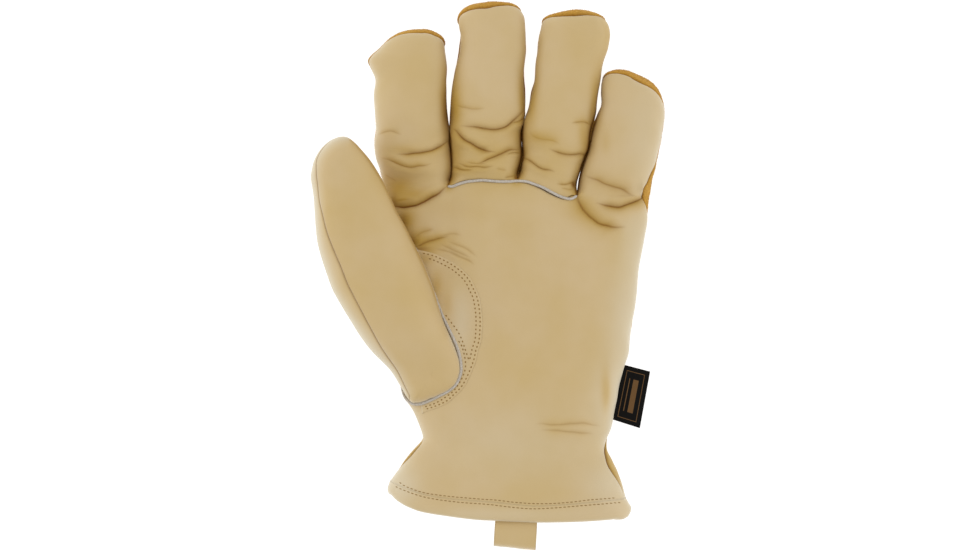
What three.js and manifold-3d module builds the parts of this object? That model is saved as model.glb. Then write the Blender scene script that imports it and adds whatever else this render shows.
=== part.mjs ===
// An insulated leather driver glove for the left hand, lying on its back with the palm up.
// Millimetres. +Y runs from the cuff to the fingertips, the thumb is on the -X side, and z = 0 is the
// flattened back. Every wall is leather with its fleece backing. The closed skin of the hand and its
// hollow are built from tables of cross-sections, and the seams then part that skin into its panels.
import * as THREE from "three";
import { mergeVertices } from "three/addons/utils/BufferGeometryUtils.js";
import Module from "manifold-3d";

const wasm = await Module();
wasm.setup();

// Driving sizes.
const WALL = 3;
const SEAM_GAP = 0.3;
const HAIR = 0.05;
const FINGER_SLIT = 0.7;
const PIPING_RADIUS = 0.9;
const FINGER_PIPING_LIFT = 0.3;
const THUMB_PIPING_LIFT = 1.2;
const HEM_WIDTH = 9;
const LABEL_THICKNESS = 0.8;
const WRIST_Y = -81;
const BASE_LINE = 40;
const FAR = 300;

// The pull loop is a strap folded double, sewn inside the hem, with a drop-shaped eye at its end. The
// eye opens over taper from the mouth and is at its full half height from shoulder on.
const LOOP = {
  x: 14.3, z: 33.7, width: 20, strap: 1.6, inside: -114.5, mouth: -124, end: -136.8,
  eye: 3, taper: 4, shoulder: 7, eyeStart: 1.5, fold: 0.1,
};

// Corners round the outer skin and round the hollow, and how square the oval is: 2 is an ellipse.
const BODY_OVAL = { outer: 26, inner: 16, power: 2.6 };
const FINGER_OVAL = { outer: 14, inner: 8, power: 2.4 };
const THUMB_OVAL = { outer: 18, inner: 10, power: 2.25 };

// Where the rows of a rounded end lie on its length, how blunt it is, and how its height follows.
const DOME = { parts: [0.5, 0.82, 0.98], power: 2.5, heightPower: 0.8 };

// Cross-sections of the palm and cuff: y, left and right edge x, lowest and highest z.
const BODY_SECTIONS = [
  { y: 50, left: -46, right: 66, low: 3, high: 19 },
  { y: 47, left: -50, right: 74, low: 0.5, high: 23 },
  { y: 40, left: -53, right: 78.5, low: -1, high: 26 },
  { y: 28, left: -53.5, right: 79, low: -1.5, high: 28 },
  { y: 8, left: -52.5, right: 76.5, low: -1.5, high: 29.5 },
  { y: -12, left: -50, right: 74.2, low: -1.5, high: 30 },
  { y: -32, left: -48, right: 71.2, low: -1.5, high: 31 },
  { y: -47, left: -46, right: 68, low: -1.5, high: 32 },
  { y: -60, left: -42, right: 64.5, low: -1.5, high: 33 },
  { y: -70, left: -36.5, right: 61.8, low: -1.5, high: 32.5 },
  { y: -78, left: -33.5, right: 60.6, low: -1.5, high: 32 },
  { y: -84, left: -33.5, right: 59.3, low: -1.5, high: 31.5 },
  { y: -90, left: -39, right: 61, low: -1.5, high: 33 },
  { y: -98, left: -45.5, right: 65, low: -1.5, high: 36 },
  { y: -107, left: -50, right: 68.3, low: -1.5, high: 38.5 },
  { y: -116, left: -51, right: 71, low: -1.5, high: 39.5 },
  { y: -126, left: -51, right: 72, low: -1.5, high: 40 },
];

// Cross-sections of each finger: y, middle x, width, lowest and highest z. Narrow rows are the folds.
const FINGERS = {
  index: {
    tip: { y: 122.8, x: -33.5 },
    sections: [
      { y: 34, x: -35, width: 33, low: 0, high: 25 },
      { y: 46, x: -35.5, width: 32.5, low: -1, high: 24 },
      { y: 52, x: -36, width: 35, low: -1, high: 27.5 },
      { y: 60, x: -37, width: 37, low: -0.5, high: 27 },
      { y: 66, x: -37.2, width: 36.6, low: 0, high: 25 },
      { y: 76, x: -38, width: 37, low: 1, high: 27.5 },
      { y: 92, x: -38.2, width: 37, low: 2.5, high: 28 },
      { y: 106, x: -38.8, width: 39.5, low: 3.5, high: 28.5 },
      { y: 113, x: -37.5, width: 36.5, low: 4.5, high: 28 },
    ],
  },
  middle: {
    tip: { y: 136.8, x: 3 },
    sections: [
      { y: 34, x: -2, width: 32, low: 0, high: 25 },
      { y: 46, x: -2, width: 31, low: -1, high: 25 },
      { y: 53, x: -1.5, width: 34.4, low: -1, high: 28.5 },
      { y: 62, x: -1.2, width: 34.6, low: -0.5, high: 26 },
      { y: 69, x: -1, width: 35, low: 0.5, high: 28.5 },
      { y: 74, x: -0.8, width: 36, low: 1, high: 26 },
      { y: 85, x: -0.3, width: 37.2, low: 2, high: 28 },
      { y: 106, x: 0.6, width: 36.2, low: 4, high: 28.5 },
      { y: 120, x: 1.6, width: 35.2, low: 5.5, high: 29 },
      { y: 128, x: 1.7, width: 34.2, low: 6.5, high: 28.5 },
    ],
  },
  ring: {
    tip: { y: 133, x: 44 },
    sections: [
      { y: 34, x: 29, width: 31, low: 0, high: 25 },
      { y: 46, x: 29, width: 28.6, low: -1, high: 25 },
      { y: 54, x: 31.2, width: 31.4, low: -1, high: 28 },
      { y: 60, x: 33.2, width: 32, low: -0.5, high: 26 },
      { y: 69, x: 34.4, width: 33.4, low: 0.5, high: 28.5 },
      { y: 80, x: 36.8, width: 34, low: 2, high: 27.5 },
      { y: 100, x: 39.8, width: 34.6, low: 4, high: 28.5 },
      { y: 116, x: 42.3, width: 36.4, low: 5.5, high: 29 },
      { y: 124, x: 43.2, width: 35.6, low: 6.5, high: 28.5 },
    ],
  },
  little: {
    tip: { y: 102.8, x: 68.5 },
    sections: [
      { y: 24, x: 60, width: 33, low: 0, high: 26 },
      { y: 38, x: 61.6, width: 33.6, low: -1, high: 26 },
      { y: 44, x: 62.2, width: 34.6, low: -1, high: 27.5 },
      { y: 52, x: 64.2, width: 34, low: -1, high: 27.5 },
      { y: 60, x: 67, width: 34.4, low: -0.5, high: 27 },
      { y: 70, x: 69.4, width: 33.6, low: 1, high: 27 },
      { y: 80, x: 71.2, width: 33, low: 2.5, high: 27.5 },
      { y: 90, x: 71.6, width: 31.6, low: 4, high: 27.5 },
      { y: 95, x: 71, width: 29.8, low: 5, high: 27 },
    ],
  },
};

// Cross-sections of the thumb, which lies over the palm's edge and is free beyond it.
const THUMB = {
  tip: { y: 69, x: -72 },
  root: { y: -65, x: -27 },
  sections: [
    { y: -56, x: -29.5, width: 26, low: 8, high: 35 },
    { y: -50, x: -31, width: 33, low: 8, high: 38.5 },
    { y: -42, x: -34.2, width: 40.5, low: 9, high: 42.5 },
    { y: -32, x: -40, width: 45.2, low: 11, high: 46 },
    { y: -22, x: -45.3, width: 46.8, low: 14, high: 48.5 },
    { y: -12, x: -50, width: 48.2, low: 16.5, high: 50 },
    { y: -2, x: -53.6, width: 49.4, low: 18, high: 50.5 },
    { y: 12, x: -59.5, width: 47, low: 19.5, high: 50.5 },
    { y: 28, x: -64.4, width: 42, low: 20.5, high: 50 },
    { y: 42, x: -68.8, width: 38, low: 21.5, high: 49.5 },
    { y: 53, x: -71.6, width: 33.6, low: 23, high: 48.5 },
    { y: 61, x: -72.8, width: 27, low: 25, high: 47 },
  ],
};

// Lines on the palm as [x, y]: where fingers meet, the seams, the stitched crescent and the mouth.
const INDEX_MIDDLE = [[-19, 49.4], [-18.7, 60], [-19, 74], [-18.5, 100], [-16.5, 140]];
const MIDDLE_RING = [[14.8, 49.6], [16.8, 62], [16.8, 71], [19.8, 82], [21, 110], [22.5, 140]];
const RING_LITTLE = [[45.4, 48.8], [50, 62.5], [52.4, 72], [55.6, 86], [57.2, 98], [58.6, 112], [70, 140]];
const FINGER_SEAM = [[-20.5, 44.3], [-15, 45.6], [-7, 47.2], [3, 46.9], [14, 46.9], [22, 45.6],
  [30, 41.6], [38, 38], [43.6, 39.4]];
const THUMB_SEAM = [[-39.5, 27], [-36, 14], [-31.5, 2], [-27.6, -8], [-24.4, -16], [-19, -28],
  [-14.6, -38.5], [-13, -47], [-15.6, -55], [-22, -61], [-31, -65], [-41, -66]];
const PATCH_EDGE = [[-36.5, 12.5], [-33, 11.4], [-25, 8.6], [-16.5, 3.8], [-9.5, -3.5], [-5.8, -12],
  [-4.4, -21], [-5, -32], [-7.6, -42], [-11.6, -51], [-19, -59.5], [-26, -65.6], [-33, -70.5]];
const MOUTH = [[-60, -104], [-50.5, -107.5], [-46, -113], [-38, -117], [-20, -120.6], [3.5, -122.4],
  [46, -122.8], [61, -121.6], [68, -119.6], [80, -116]];
const THUMB_SIDE_SEAM = [[-72.3, 75], [-74.5, 66], [-79, 60], [-81.4, 53], [-81.6, 46], [-80, 34],
  [-76.5, 20], [-72, 6], [-66, -8], [-58, -22], [-50, -35], [-43.5, -47], [-39, -58], [-36, -70]];
const LABEL = [[66, -44.4], [81, -48.6], [76, -76.2], [60.5, -72]];
const LABEL_Z = 13;

// Where the seams run on the sides: the drop below a finger's middle height, half of a fourchette's
// width, how far from the tip a fourchette ends, the seam's climb over the tip as [distance back from
// the tip, height over the middle], the finger rows whose middle it follows, and the height of the
// seam along the palm's edges as [y, z].
const FINGER_SEAM_DROP = 1;
const FOURCHETTE_HALF = 5;
const TIP_WRAP = 9;
const TIP_SEAM = [[5.4, 2.5], [2.6, 8], [1.3, 16], [0, 30], [-60, 40]];
const SEAM_ROWS = [0, 3, 6];
const PALM_SEAM = [[-FAR, 11], [-84, 12], [-60, 13], [-20, 9], [20, 10], [BASE_LINE, 11.5], [60, 11.5]];
const THUMB_SEAM_Z = 33;
const PATCH_FLOOR = 20;

// Lines that stand clear of the hand and close the regions cut from it.
const LEFT_OF_HAND = [[-120, 20], [-120, 160]];
const RIGHT_OF_HAND = [[120, 20], [120, 160]];
const LEFT_OF_PATCH = [[-80, -75], [-80, 20]];
const RIGHT_OF_THUMB = [[40, -90], [40, 90]];

const TAN = { color: 0xc9ad7e, roughness: 0.62, metalness: 0 };
const SUEDE = { color: 0xb98a45, roughness: 0.95, metalness: 0 };
const GREY = { color: 0xb8ada0, roughness: 0.85, metalness: 0 };
const BLACK = { color: 0x1c1a18, roughness: 0.9, metalness: 0 };

// A closed geometry made a solid: only positions are kept and shared corners are merged.
function toSolid(geometry) {
  const bare = geometry.clone();
  bare.deleteAttribute("normal");
  bare.deleteAttribute("uv");
  const merged = mergeVertices(bare, 1e-4);
  const vertProperties = new Float32Array(merged.attributes.position.array);
  const triVerts = new Uint32Array(merged.index.array);
  return new wasm.Manifold(new wasm.Mesh({ numProp: 3, vertProperties, triVerts }));
}

function toGeometry(solid) {
  const mesh = solid.getMesh();
  const geometry = new THREE.BufferGeometry();
  const position = new THREE.BufferAttribute(new Float32Array(mesh.vertProperties), 3);
  geometry.setAttribute("position", position);
  geometry.setIndex(new THREE.BufferAttribute(new Uint32Array(mesh.triVerts), 1));
  return geometry.toNonIndexed();
}

function join(solids) {
  return solids.reduce((all, next) => all.add(next));
}

// The main body of a cut solid, without crumbs left where two seams cross.
function mainBody(solid) {
  return solid.decompose().reduce((best, next) => (next.volume() > best.volume() ? next : best));
}

// Rings of equal length skinned in order, with a fan of triangles over each end.
function skin(rings) {
  const around = rings[0].length;
  const points = rings.flat();
  const index = [];
  for (let i = 0; i + 1 < rings.length; i += 1) {
    for (let j = 0; j < around; j += 1) {
      const a = i * around + j;
      const b = i * around + ((j + 1) % around);
      index.push(a, b, a + around, b, b + around, a + around);
    }
  }
  const capEnd = (ring, first, turned) => {
    const middle = points.length;
    const sum = ring.reduce((total, p) => total.add(p), new THREE.Vector3());
    points.push(sum.divideScalar(around));
    for (let j = 0; j < around; j += 1) {
      const pair = [first + j, first + ((j + 1) % around)];
      index.push(...(turned ? pair.reverse() : pair), middle);
    }
  };
  capEnd(rings[0], 0, true);
  capEnd(rings.at(-1), (rings.length - 1) * around, false);
  const geometry = new THREE.BufferGeometry().setFromPoints(points);
  geometry.setIndex(index);
  const made = toSolid(geometry);
  return made.volume() < 0 ? toSolid(geometry.setIndex(index.reverse())) : made;
}

// A flattened oval in the plane y = section.y, set in by shrink.
function oval(section, shrink, count, power) {
  const halfWidth = section.width / 2 - shrink;
  const halfHeight = (section.high - section.low) / 2 - shrink;
  const middle = (section.high + section.low) / 2;
  const bend = (value) => Math.sign(value) * Math.abs(value) ** (2 / power);
  return Array.from({ length: count }, (_, j) => {
    const turn = (2 * Math.PI * j) / count;
    const x = section.x + halfWidth * bend(Math.cos(turn));
    return new THREE.Vector3(x, section.y, middle + halfHeight * bend(Math.sin(turn)));
  });
}

// The rows of a rounded end: each is the last section, moved on towards the tip and made smaller.
function domeRows(last, tip, shrink) {
  const reach = tip.y - last.y - Math.sign(tip.y - last.y) * shrink;
  return DOME.parts.map((part) => {
    const scale = (1 - part ** DOME.power) ** (1 / DOME.power);
    const middle = (last.high + last.low) / 2;
    const half = ((last.high - last.low) / 2 - shrink) * scale ** DOME.heightPower;
    return {
      y: last.y + reach * part,
      x: last.x + (tip.x - last.x) * part,
      width: (last.width - 2 * shrink) * scale,
      low: middle - half,
      high: middle + half,
    };
  });
}

// A tube through a table of sections, open to the hand at its first row and domed at its tip.
function fingerTube(finger, shrink, count, power) {
  const rings = finger.sections.map((row) => oval(row, shrink, count, power));
  for (const row of domeRows(finger.sections.at(-1), finger.tip, shrink)) {
    rings.push(oval(row, 0, count, power));
  }
  if (finger.root) {
    for (const row of domeRows(finger.sections[0], finger.root, shrink)) {
      rings.unshift(oval(row, 0, count, power));
    }
  }
  return skin(rings);
}

// The palm and cuff. The hollow one is shorter at the fingers and runs out through the mouth.
function bodyTube(shrink, count) {
  const rows = BODY_SECTIONS.map((row) => ({
    ...row,
    y: row.y > BASE_LINE ? row.y - shrink : row.y,
    x: (row.left + row.right) / 2,
    width: row.right - row.left,
  }));
  rows.push({ ...rows.at(-1), y: rows.at(-1).y - shrink });
  return skin(rows.map((row) => oval(row, shrink, count, BODY_OVAL.power)));
}

// A prism that stands on the outline [x, y] from one height to another.
function prism(outline, from, to) {
  const shape = new THREE.Shape(outline.map(([x, y]) => new THREE.Vector2(x, y)));
  const geometry = new THREE.ExtrudeGeometry(shape, { depth: to - from, bevelEnabled: false });
  return toSolid(geometry.translate(0, 0, from));
}

// A line drawn smoothly through hand-set points, as evenly spaced [x, y] pairs.
function smooth(points, count) {
  const curve = new THREE.SplineCurve(points.map(([x, y]) => new THREE.Vector2(x, y)));
  return curve.getSpacedPoints(count).map((p) => [p.x, p.y]);
}

// The line moved to its left (a positive distance) or right, corner by corner.
function offset(line, distance) {
  return line.map(([x, y], i) => {
    const before = line[Math.max(i - 1, 0)];
    const after = line[Math.min(i + 1, line.length - 1)];
    const along = new THREE.Vector2(after[0] - before[0], after[1] - before[1]).normalize();
    return [x - along.y * distance, y + along.x * distance];
  });
}

// A thin upright wall along a line, which parts two panels.
function slit(line, width) {
  const outline = [...offset(line, width / 2), ...offset(line, -width / 2).reverse()];
  return prism(outline, -FAR, FAR);
}

// A box over the whole plan between two values of y, and between two heights.
function band(fromY, toY, low, high) {
  return prism([[-FAR, fromY], [FAR, fromY], [FAR, toY], [-FAR, toY]], low, high);
}

// Everything above or below the profile [y, z], over the plan region.
function beyond(profile, region, side) {
  const far = side * FAR;
  const ends = [[profile.at(-1)[0], far], [profile[0][0], far]];
  const shape = new THREE.Shape([...profile, ...ends].map(([y, z]) => new THREE.Vector2(y, z)));
  const geometry = new THREE.ExtrudeGeometry(shape, { depth: 2 * FAR, bevelEnabled: false });
  // The profile is drawn in x and y, so it is turned to lie in y and z, and runs along x.
  geometry.applyMatrix4(new THREE.Matrix4().set(0, 0, 1, -FAR, 1, 0, 0, 0, 0, 1, 0, 0, 0, 0, 0, 1));
  return toSolid(geometry).intersect(region);
}

// A rod of even thickness along a smooth line over the palm.
function rod(points, radius) {
  const curve = new THREE.CatmullRomCurve3(points);
  const section = new THREE.Shape();
  section.absarc(0, 0, radius, 0, 2 * Math.PI);
  const settings = { extrudePath: curve, steps: points.length, bevelEnabled: false, curveSegments: 3 };
  return toSolid(new THREE.ExtrudeGeometry(section, settings));
}

// The height of the palm's skin at a plan point, from the two sections on either side of it.
function palmTop(x, y) {
  const rows = BODY_SECTIONS;
  const at = rows.findIndex((row) => row.y <= y);
  const low = rows[at < 0 ? rows.length - 1 : at];
  const high = rows[Math.max((at < 0 ? rows.length : at) - 1, 0)];
  const part = high.y === low.y ? 0 : (y - low.y) / (high.y - low.y);
  const mix = (name) => low[name] + (high[name] - low[name]) * part;
  const half = (mix("right") - mix("left")) / 2;
  const across = Math.min(Math.abs(x - (mix("right") + mix("left")) / 2) / half, 1);
  const rise = (1 - across ** BODY_OVAL.power) ** (1 / BODY_OVAL.power);
  return (mix("high") + mix("low")) / 2 + ((mix("high") - mix("low")) / 2) * rise;
}

// The whole skin of the hand, its hollow, and the thumb's skin outside the hand.
const fingerList = Object.values(FINGERS);
const outerOf = (finger) => fingerTube(finger, 0, FINGER_OVAL.outer, FINGER_OVAL.power);
const innerOf = (finger) => fingerTube(finger, WALL, FINGER_OVAL.inner, FINGER_OVAL.power);
const bodyOuter = bodyTube(0, BODY_OVAL.outer);
const bodyInner = bodyTube(WALL, BODY_OVAL.inner);
const handOuter = join([bodyOuter, ...fingerList.map(outerOf)]).subtract(band(-FAR, FAR, -FAR, 0));
const handInner = join([bodyInner, ...fingerList.map(innerOf)]).subtract(band(-FAR, FAR, -FAR, WALL));
const thumbOuter = fingerTube(THUMB, 0, THUMB_OVAL.outer, THUMB_OVAL.power);
const thumbInner = fingerTube(THUMB, WALL, THUMB_OVAL.inner, THUMB_OVAL.power);
const clearOfHand = handOuter.add(handOuter.translate([0, 0, SEAM_GAP]));
const thumbSkin = thumbOuter.subtract(thumbInner).subtract(clearOfHand);

// The mouth is cut along its curve, and the hem is the strip next to it.
const mouthLine = smooth(MOUTH, 16);
const hemLine = mouthLine.map(([x, y]) => [x, y + HEM_WIDTH]);
const pastMouth = prism([...mouthLine, [FAR, -FAR], [-FAR, -FAR]], -FAR, FAR);
const hemRegion = prism([...hemLine, ...[...mouthLine].reverse()], -FAR, FAR);
const hemGap = slit(hemLine, SEAM_GAP);
const handSkin = handOuter.subtract(handInner).subtract(pastMouth);
const hem = handSkin.intersect(hemRegion).subtract(hemGap);
const slits = join([INDEX_MIDDLE, MIDDLE_RING, RING_LITTLE].map((line) => slit(line, FINGER_SLIT)));
const shell = handSkin.subtract(hemRegion).subtract(hemGap).subtract(thumbInner).subtract(slits);

const middleOf = (row) => (row.high + row.low) / 2;

// The seam along a finger: level on its side, then up over the tip, where the back wraps round.
function seamProfile(finger, lift) {
  const level = SEAM_ROWS.map((i) => finger.sections[i]).map((row) => [row.y, middleOf(row) + lift]);
  const middle = middleOf(finger.sections.at(-1));
  const climb = TIP_SEAM.map(([back, rise]) => [finger.tip.y - back, middle + rise]);
  return [[-FAR, level[0][1]], ...level, ...climb];
}

// The lower edge of a fourchette, which climbs to meet the front seam before the tip.
function stripProfile(finger) {
  const rows = SEAM_ROWS.map((i) => finger.sections[i]);
  const lowered = rows.map((row) => [row.y, middleOf(row) - FOURCHETTE_HALF]);
  const end = [finger.tip.y - TIP_WRAP, middleOf(rows.at(-1)) + FOURCHETTE_HALF];
  return [[-FAR, lowered[0][1]], ...lowered, end, [FAR - 1, FAR - 1]];
}

// A finger's middle line, moved a hair past itself so that its two halves share no edge.
const axis = (finger, past) => [
  ...finger.sections.map((row) => [row.x + past, row.y]),
  [finger.tip.x + past, finger.tip.y + TIP_WRAP],
];

// The eight halves of the fingers from left to right, and the fourchette on each half's side. The
// outer sides of the index and little fingers have none: front and back are sewn to each other.
const HALVES = [];
const sides = [null, "index_middle", "middle_ring", "ring_little", null];
const borders = [LEFT_OF_HAND, INDEX_MIDDLE, MIDDLE_RING, RING_LITTLE, RIGHT_OF_HAND];
fingerList.forEach((finger, i) => {
  HALVES.push({ finger, left: borders[i], right: axis(finger, HAIR), side: sides[i] });
  HALVES.push({ finger, left: axis(finger, -HAIR), right: borders[i + 1], side: sides[i + 1] });
});

// Everything in front of the seams, everything behind them, and the strips between.
const raised = (profile, by) => profile.map(([y, z]) => [y, z + by]);
const palmRegion = band(-FAR, BASE_LINE, -FAR, FAR);
const inFront = [beyond(raised(PALM_SEAM, SEAM_GAP / 2), palmRegion, 1)];
const behind = [beyond(raised(PALM_SEAM, -SEAM_GAP / 2), palmRegion, -1)];
const strips = { index_middle: [], middle_ring: [], ring_little: [] };
for (const { finger, left, right, side } of HALVES) {
  const above = (line) => [[line[0][0], BASE_LINE], ...line.filter(([, y]) => y > BASE_LINE)];
  const region = prism([...above(right), ...above(left).reverse()], -FAR, FAR);
  const seam = seamProfile(finger, side ? FOURCHETTE_HALF : -FINGER_SEAM_DROP);
  const under = beyond(raised(seam, -SEAM_GAP / 2), region, -1);
  inFront.push(beyond(raised(seam, SEAM_GAP / 2), region, 1));
  if (side) {
    const strip = stripProfile(finger);
    strips[side].push(beyond(raised(strip, SEAM_GAP / 2), region, 1).intersect(under));
    behind.push(under.subtract(beyond(raised(strip, -SEAM_GAP / 2), region, 1)));
  } else {
    behind.push(under);
  }
}

// Piping lies half sunk in its seam, and a thicker copy of each rod makes the groove for it.
const seamLine = smooth(FINGER_SEAM, 12);
const onPalm = (line, lift) => line.map(([x, y]) => new THREE.Vector3(x, y, palmTop(x, y) + lift));
const fingerPath = onPalm(seamLine, FINGER_PIPING_LIFT);
const thumbPath = onPalm(smooth(THUMB_SEAM, 18), THUMB_PIPING_LIFT);
const grooves = join([fingerPath, thumbPath].map((path) => rod(path, PIPING_RADIUS + SEAM_GAP)));

// The fronts: two set-in fingers beyond the piping, and the stitched crescent beside the thumb.
function fingerFront(left, right) {
  const base = seamLine.filter(([x]) => x > left[0][0] && x < right[0][0]);
  return prism([...base, ...right, ...[...left].reverse()], -FAR, FAR);
}
const front = shell.intersect(join(inFront)).subtract(grooves);
const baseSlit = slit(seamLine, SEAM_GAP);
const middleRegion = fingerFront(INDEX_MIDDLE, MIDDLE_RING);
const ringRegion = fingerFront(MIDDLE_RING, RING_LITTLE);
const patchLine = smooth(PATCH_EDGE, 16);
const patchRegion = prism([...patchLine, ...LEFT_OF_PATCH], PATCH_FLOOR, FAR);
const gapOutline = [...offset(patchLine, SEAM_GAP), ...LEFT_OF_PATCH];
const patchGap = prism(gapOutline, PATCH_FLOOR - SEAM_GAP, FAR);

// The thumb's two halves, parted by the seam drawn down its left side and under its right side.
const sideSeam = smooth(THUMB_SIDE_SEAM, 20);
const rightOf = (shift) =>
  prism([...offset(sideSeam, shift), ...RIGHT_OF_THUMB], THUMB_SEAM_Z + shift, FAR);

// The loop's outline in y and z: a drop whose neck is two straps thick, with a smaller drop cut out.
function drop(shape, neck, bulge, start, tip) {
  const { z, taper, shoulder } = LOOP;
  const bend = start - taper;
  const full = start - shoulder;
  shape.moveTo(start, z + neck);
  shape.bezierCurveTo(bend, z + neck, bend, z + bulge, full, z + bulge);
  shape.bezierCurveTo(tip, z + bulge, tip, z + bulge / 2, tip, z);
  shape.bezierCurveTo(tip, z - bulge / 2, tip, z - bulge, full, z - bulge);
  shape.bezierCurveTo(bend, z - bulge, bend, z - neck, start, z - neck);
  return shape;
}

function pullLoop() {
  const { x, z, width, strap, inside, mouth, end, eye, eyeStart, fold } = LOOP;
  const outline = drop(new THREE.Shape(), strap, eye + strap, mouth, end);
  outline.lineTo(inside, z - strap);
  outline.lineTo(inside, z + strap);
  outline.holes.push(drop(new THREE.Path(), fold, eye, mouth - eyeStart, end + strap));
  const settings = { depth: width, bevelEnabled: false, curveSegments: 3 };
  const geometry = new THREE.ExtrudeGeometry(outline, settings).translate(0, 0, x - width / 2);
  // The outline is drawn in x and y, so its axes are turned to y and z.
  geometry.applyMatrix4(new THREE.Matrix4().set(0, 0, 1, 0, 1, 0, 0, 0, 0, 1, 0, 0, 0, 0, 0, 1));
  return toSolid(geometry);
}

const cuffRegion = band(-FAR, WRIST_Y, -FAR, FAR);
const wristSlit = band(WRIST_Y - SEAM_GAP, WRIST_Y, -FAR, FAR);
const back = shell.intersect(join(behind)).subtract(wristSlit);
const label = prism(LABEL, LABEL_Z, LABEL_Z + LABEL_THICKNESS);
const fronts = join([middleRegion, ringRegion, baseSlit, patchGap]);

const PIECES = [
  ["palm_panel", front.subtract(fronts), TAN],
  ["middle_finger_front", front.intersect(middleRegion).subtract(baseSlit), TAN],
  ["ring_finger_front", front.intersect(ringRegion).subtract(baseSlit), TAN],
  ["back_panel", back.subtract(cuffRegion), SUEDE],
  ...Object.entries(strips).map(([side, parts]) => [
    `fourchette_${side}`,
    shell.intersect(join(parts)),
    TAN,
  ]),
  ["thumb_front", thumbSkin.intersect(rightOf(SEAM_GAP / 2)).subtract(grooves), TAN],
  ["thumb_back", thumbSkin.subtract(rightOf(-SEAM_GAP / 2)).subtract(grooves), TAN],
  ["thumb_gusset", front.intersect(patchRegion), TAN],
  ["cuff_back", back.intersect(cuffRegion), TAN],
  ["cuff_hem", hem, TAN],
  ["finger_piping", rod(fingerPath, PIPING_RADIUS), GREY],
  ["thumb_piping", rod(thumbPath, PIPING_RADIUS), GREY],
  ["pull_loop", pullLoop(), TAN],
  ["side_label", label.subtract(handOuter.add(handOuter.translate([SEAM_GAP, 0, 0]))), BLACK],
];

// The group's origin is under the middle of its box, where the glove rests.
const glove = new THREE.Group();
for (const [name, solid, look] of PIECES) {
  const mesh = new THREE.Mesh(toGeometry(mainBody(solid)), new THREE.MeshStandardMaterial(look));
  mesh.name = name;
  glove.add(mesh);
}
const box = new THREE.Box3().setFromObject(glove);
glove.position.set(-(box.min.x + box.max.x) / 2, -(box.min.y + box.max.y) / 2, -box.min.z);

export default glove;
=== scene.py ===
import bpy
import numpy as np
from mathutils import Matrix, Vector
from mathutils.bvhtree import BVHTree


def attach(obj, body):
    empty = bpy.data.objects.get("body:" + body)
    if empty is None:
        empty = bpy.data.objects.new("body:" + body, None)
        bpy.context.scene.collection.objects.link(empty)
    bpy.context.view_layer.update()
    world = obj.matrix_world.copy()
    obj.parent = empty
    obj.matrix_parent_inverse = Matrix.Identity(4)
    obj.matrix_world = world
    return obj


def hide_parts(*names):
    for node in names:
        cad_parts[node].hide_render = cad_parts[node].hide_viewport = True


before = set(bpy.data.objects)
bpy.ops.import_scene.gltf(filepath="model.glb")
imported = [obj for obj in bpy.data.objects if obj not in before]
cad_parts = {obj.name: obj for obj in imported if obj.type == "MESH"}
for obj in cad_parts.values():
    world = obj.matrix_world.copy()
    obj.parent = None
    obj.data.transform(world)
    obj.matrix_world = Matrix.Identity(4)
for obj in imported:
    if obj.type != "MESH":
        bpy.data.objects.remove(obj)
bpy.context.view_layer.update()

# Palm panel
# The palm, cut in one piece with the fronts of the index and little fingers from smooth full-grain
# cowhide, 1.8 mm with its fleece. Inseams join it to the suede back; folds run across each finger.

MM = 0.001
LEATHER, SEAM_ROUND = 1.8, 1.15
SIDES = ("left", "right")

PALM_LEFT = [
    (-49, -102.8), (-45.3, -97.7), (-41.6, -92.7), (-38.1, -88.2), (-33.7, -83.7), (-32.6, -80.7),
    (-33.3, -77.2), (-35.1, -72.7), (-37.7, -67.7), (-41.1, -62.6), (-43.7, -56.6), (-45.3, -48.6),
    (-47.3, -35.1), (-49.3, -17.5), (-51.3, 2.5), (-52.8, 22.6), (-53.8, 35.1), (-52.8, 44.4),
]
PALM_RIGHT = [
    (68.7, -111.3), (67.8, -107.8), (66.3, -102.8), (64.3, -97.7), (61.8, -92.7), (59.4, -88.2),
    (58.9, -84.2), (59.9, -80.7), (61.2, -77.7), (62.6, -71.7), (64.3, -62.6), (66.6, -50.1),
    (69.6, -40.1), (70.9, -32.6), (72.2, -22.5), (73.7, -12.5), (75, -2.5), (76.2, 7.6), (77.9, 17.6),
    (79.1, 25.1), (79.9, 32.6), (80.7, 39.4),
]
HEM_LINE = [
    (-49, -102.8), (-42, -105.2), (-31.5, -108.5), (-21, -110.2), (-6, -111.4), (4, -112.1), (13, -113.1),
    (22, -113.9), (32, -113.7), (46, -112.8), (60, -111.8), (68.7, -111.3),
]
FINGER_SEAM = [
    (-20, 44.1), (-17.6, 44.1), (-15.1, 45.1), (-11.1, 46.3), (-7.1, 46.8), (-2.6, 47.1), (3.8, 46.6),
    (9.8, 46.5), (14.3, 46.8), (18.8, 46.5), (22.7, 45.3), (27.7, 43.3), (32.7, 40.6), (37.2, 38.6),
    (41.1, 37.9), (44, 39.4),
]
CROTCHES = [-20.0, 14.3, 44.0]
CROTCH_POINTS = [(-20.0, 45.5), (14.3, 48.0), (44.0, 41.5)]
# Lowest and highest z of the palm and cuff by y.
PALM_HEIGHTS = [
    (-126, -1.5, 40), (-116, -1.5, 39.5), (-107, -1.5, 38), (-98, -1.5, 35.5), (-90, -1.5, 32.8),
    (-84, -1.5, 31.4), (-78, -1.5, 31.6), (-70, -1.5, 32.2), (-60, -1.5, 32.6), (-47, -1.5, 32),
    (-32, -1.5, 31), (-12, -1.5, 30), (8, -1.5, 29.5), (28, -1.5, 28.2), (40, -1, 26.5), (50, -1, 25),
]
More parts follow.
